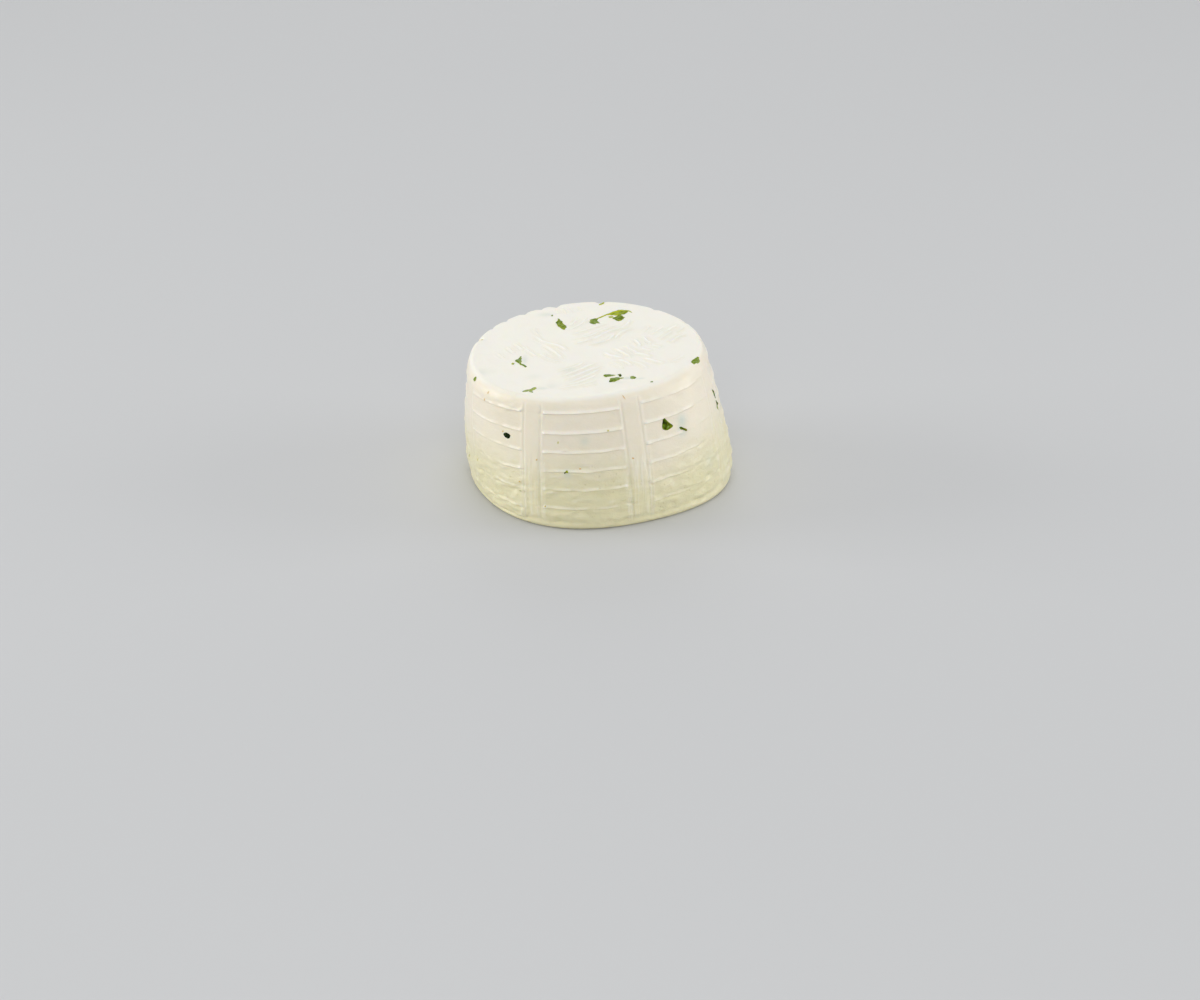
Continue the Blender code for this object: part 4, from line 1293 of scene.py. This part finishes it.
def leaf_finish(settings):
    """Chopped leaf: pale where it is sunken to nearly black, greyer inside, yellow-green along its cut edges."""
    recipe = Recipe("herb_leaf")
    edge, fresh = recipe.trait("edge"), recipe.trait("fresh")
    blotches = recipe.lumps(0.9).between(0.36, 0.64)
    tone = recipe.trait("tone") + 0.42 * (blotches - 0.5)
    colour = settings.film_colour
    for low, high, darker in (
        (-0.35, 0.05, settings.pale_colour),
        (0.00, 0.50, settings.leaf_colour),
        (0.48, 0.82, settings.dark_colour),
        (0.82, 0.98, settings.black_colour),
    ):
        colour = recipe.blend(tone.between(low, high), colour, darker)
    inside = (1.0 - edge.between(0.45, 0.85)) * (1.0 - tone.between(0.50, 0.70))
    colour = recipe.blend(inside * (1.0 - blotches) * 0.85, colour, settings.vein_colour)
    uneven = recipe.lumps(1.3).between(0.38, 0.60)
    cut = edge.between(0.70, 1.0) * uneven * (1.0 - tone.between(0.80, 0.95))
    colour = recipe.blend(cut * 0.45, colour, settings.edge_colour)
    colour = recipe.blend(fresh * (0.45 + 0.55 * uneven), colour, settings.edge_colour)
    return herb_skin(recipe, colour, 0.35)


def stalk_finish(settings):
    """Herb stalk: yellow-green, darker in streaks, and darker towards its sides and underneath as painted shade.
    """
    recipe = Recipe("herb_stalk")
    streaks = recipe.lumps(1.4).between(0.45, 0.70)
    colour = recipe.blend(streaks * 0.45, settings.edge_colour, settings.leaf_colour)
    # Painted shade towards the stalk's sides and underneath, where it meets the curd
    colour = recipe.blend(recipe.trait("edge") * 0.35, colour, settings.leaf_colour)
    return herb_skin(recipe, colour, 0.30)


def speck_finish(settings):
    """Crumbs of leaf and pollen: olive to yellow to orange by their tint, half sunk in the curd."""
    recipe = Recipe("herb_speck")
    tint = recipe.trait("tint")
    colour = recipe.blend(tint.between(0.0, 0.45), settings.olive_colour, settings.yellow_colour)
    colour = recipe.blend(tint.between(0.5, 0.9), colour, settings.orange_colour)
    sunken = 0.04 + 0.80 * recipe.trait("edge").between(0.28, 1.0)
    return herb_skin(recipe, recipe.blend(sunken, colour, settings.skin_colour), 0.30)


def floor_finish(settings):
    """A plain matt floor with the faintest unevenness."""
    recipe = Recipe("floor")
    pale = tuple(0.97 * part for part in settings.floor_colour[:3]) + (1.0,)
    colour = recipe.blend(recipe.lumps(400.0), settings.floor_colour, pale)
    return recipe.finish(Base_Color=colour, Roughness=0.75 + 0.05 * recipe.lumps(60.0))


# ---------------------------------------------------------------- operators


class GIUNCATA_OT_curd(Operator):
    """Make the curd with the basket's marks on it"""

    bl_idname = "giuncata.curd"
    bl_label = "Curd"

    def execute(self, context):
        settings = context.scene.giuncata_curd
        points, faces, traits = curd_mesh(settings)
        corners = np.array((points.min(axis=0), points.max(axis=0)))
        stray = np.abs(corners - np.array(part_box(NODE)) / MM).max()
        if stray > MOST_STRAY:
            raise RuntimeError(f"the curd strays {stray:.1f} mm from the packed cheese")
        new_piece("curd_body", points, faces, curd_finish(settings), traits)
        return {"FINISHED"}


class GIUNCATA_OT_leaf(Operator):
    """Make the bits of chopped leaf on top and in the wall"""

    bl_idname = "giuncata.leaf"
    bl_label = "Leaf bits"

    def execute(self, context):
        curd, herbs = context.scene.giuncata_curd, context.scene.giuncata_herbs
        draw = np.random.default_rng(LEAF_SEED)
        bits = Basketful()
        bits.add_leaf(TOP_BITS, laid_on_top, TOP_RAGGED, TOP_SUNK, herbs.leaf_out / MM, curd, draw)
        wall = [(tones, freshness, around(corners)) for tones, freshness, corners in WALL_BITS]
        for place, length, width, way, tone in MORE_WALL_BITS:
            corners = around(place) + cut_corners(length, width, way, draw)
            wall.append(((tone, tone - 0.15), (0.05, 0.40), corners))
        bits.add_leaf(wall, laid_on_wall, WALL_RAGGED, WALL_SUNK, herbs.leaf_out / MM, curd, draw)
        bits.piece("herb_leaf", leaf_finish(herbs))
        return {"FINISHED"}


class GIUNCATA_OT_stalk(Operator):
    """Make the bits of herb stalk on top"""

    bl_idname = "giuncata.stalk"
    bl_label = "Stalks"

    def execute(self, context):
        curd, herbs = context.scene.giuncata_curd, context.scene.giuncata_herbs
        bits = Basketful()
        for places, width in TOP_STALKS:
            flat, heights, edge, faces = strand(places, width, herbs.stalk_out / MM, STALK_DEPTH)
            bits.add(laid_on_top(flat, heights, curd), faces, edge=edge)
        bits.piece("herb_stalk", stalk_finish(herbs))
        return {"FINISHED"}


class GIUNCATA_OT_speck(Operator):
    """Make the small yellow, olive and orange specks"""

    bl_idname = "giuncata.speck"
    bl_label = "Specks"

    def execute(self, context):
        curd, herbs = context.scene.giuncata_curd, context.scene.giuncata_herbs
        draw = np.random.default_rng(SPECK_SEED)
        bits = Basketful()
        bits.add_specks(TOP_SPECKS, np.array, laid_on_top, curd, draw)
        bits.add_specks(WALL_SPECKS, around, laid_on_wall, curd, draw)
        bits.piece("herb_speck", speck_finish(herbs))
        return {"FINISHED"}


class GIUNCATA_OT_stage(Operator):
    """Set the floor, the soft lights and the camera"""

    bl_idname = "giuncata.stage"
    bl_label = "Stage"

    def execute(self, context):
        settings = context.scene.giuncata_stage
        add_floor(settings)
        add_lights(settings)
        add_camera()
        return {"FINISHED"}


def in_scene(name, data):
    """An object of its own for some data, in the scene."""
    made = bpy.data.objects.new(name, data)
    bpy.context.scene.collection.objects.link(made)
    return made


def add_floor(settings):
    """A level square under the cheese."""
    data = bpy.data.meshes.new("floor")
    corners = ((-1, -1), (1, -1), (1, 1), (-1, 1))
    points = [(FLOOR_HALF * x, FLOOR_HALF * y, -FLOOR_DROP * MM) for x, y in corners]
    data.from_pydata(points, [], [(0, 1, 2, 3)])
    data.materials.append(floor_finish(settings))
    in_scene("floor", data)


def add_lights(settings):
    """Light all round, and square area lights that face the cheese."""
    world = bpy.data.worlds.new("room")
    world.use_nodes = True
    background = world.node_tree.nodes["Background"]
    background.inputs["Color"].default_value = ROOM_COLOUR
    background.inputs["Strength"].default_value = settings.room_light
    bpy.context.scene.world = world
    for name, place, size, power in LIGHTS:
        data = bpy.data.lights.new(name, "AREA")
        data.shape = "SQUARE"
        data.size = size
        data.energy = getattr(settings, power)
        light = in_scene(name, data)
        aim = np.array((0.0, 0.0, HEIGHT * MM / 2)) - np.array(place)
        light.location = place
        across = math.hypot(aim[0], aim[1])
        light.rotation_euler = (math.atan2(across, -aim[2]), 0.0, math.atan2(-aim[0], aim[1]))
    bpy.context.scene.view_settings.view_transform = "Standard"


def add_camera():
    """A camera that faces the middle of the base, shifted so that this falls at its place in the picture."""
    data = bpy.data.cameras.new("camera")
    data.lens = CAMERA_LENS
    data.shift_x = (PICTURE_MIDDLE[0] - BASE_IN_PICTURE[0]) / PICTURE_WIDTH
    data.shift_y = (BASE_IN_PICTURE[1] - PICTURE_MIDDLE[1]) / PICTURE_WIDTH
    camera = in_scene("camera", data)
    tilt = math.radians(CAMERA_ELEVATION)
    camera.location = (0.0, -CAMERA_DISTANCE * math.cos(tilt), CAMERA_DISTANCE * math.sin(tilt))
    camera.rotation_euler = (math.pi / 2 - tilt, 0.0, 0.0)
    bpy.context.scene.camera = camera


class GIUNCATA_PT_sidebar(Panel):
    """Buttons and settings of the giuncata"""

    bl_idname = "GIUNCATA_PT_sidebar"
    bl_label = "Giuncata"
    bl_space_type = "VIEW_3D"
    bl_region_type = "UI"
    bl_category = "Giuncata"

    def draw(self, context):
        for operator in OPERATORS:
            self.layout.operator(operator.bl_idname)
        for name in GROUPS:
            group, box = getattr(context.scene, name), self.layout.box()
            for setting in group.__annotations__:
                box.prop(group, setting)


OPERATORS = (GIUNCATA_OT_stage, GIUNCATA_OT_curd, GIUNCATA_OT_leaf, GIUNCATA_OT_stalk, GIUNCATA_OT_speck)
GROUPS = {"giuncata_curd": CurdSettings, "giuncata_herbs": HerbSettings, "giuncata_stage": StageSettings}
CLASSES = (*GROUPS.values(), *OPERATORS, GIUNCATA_PT_sidebar)


def register():
    for one in CLASSES:
        bpy.utils.register_class(one)
    for name, group in GROUPS.items():
        setattr(bpy.types.Scene, name, PointerProperty(type=group))


def unregister():
    for name in GROUPS:
        delattr(bpy.types.Scene, name)
    for one in reversed(CLASSES):
        bpy.utils.unregister_class(one)


def main():
    register()
    bpy.ops.giuncata.stage()
    bpy.ops.giuncata.curd()
    bpy.ops.giuncata.leaf()
    bpy.ops.giuncata.stalk()
    bpy.ops.giuncata.speck()


if __name__ == "__main__":
    main()
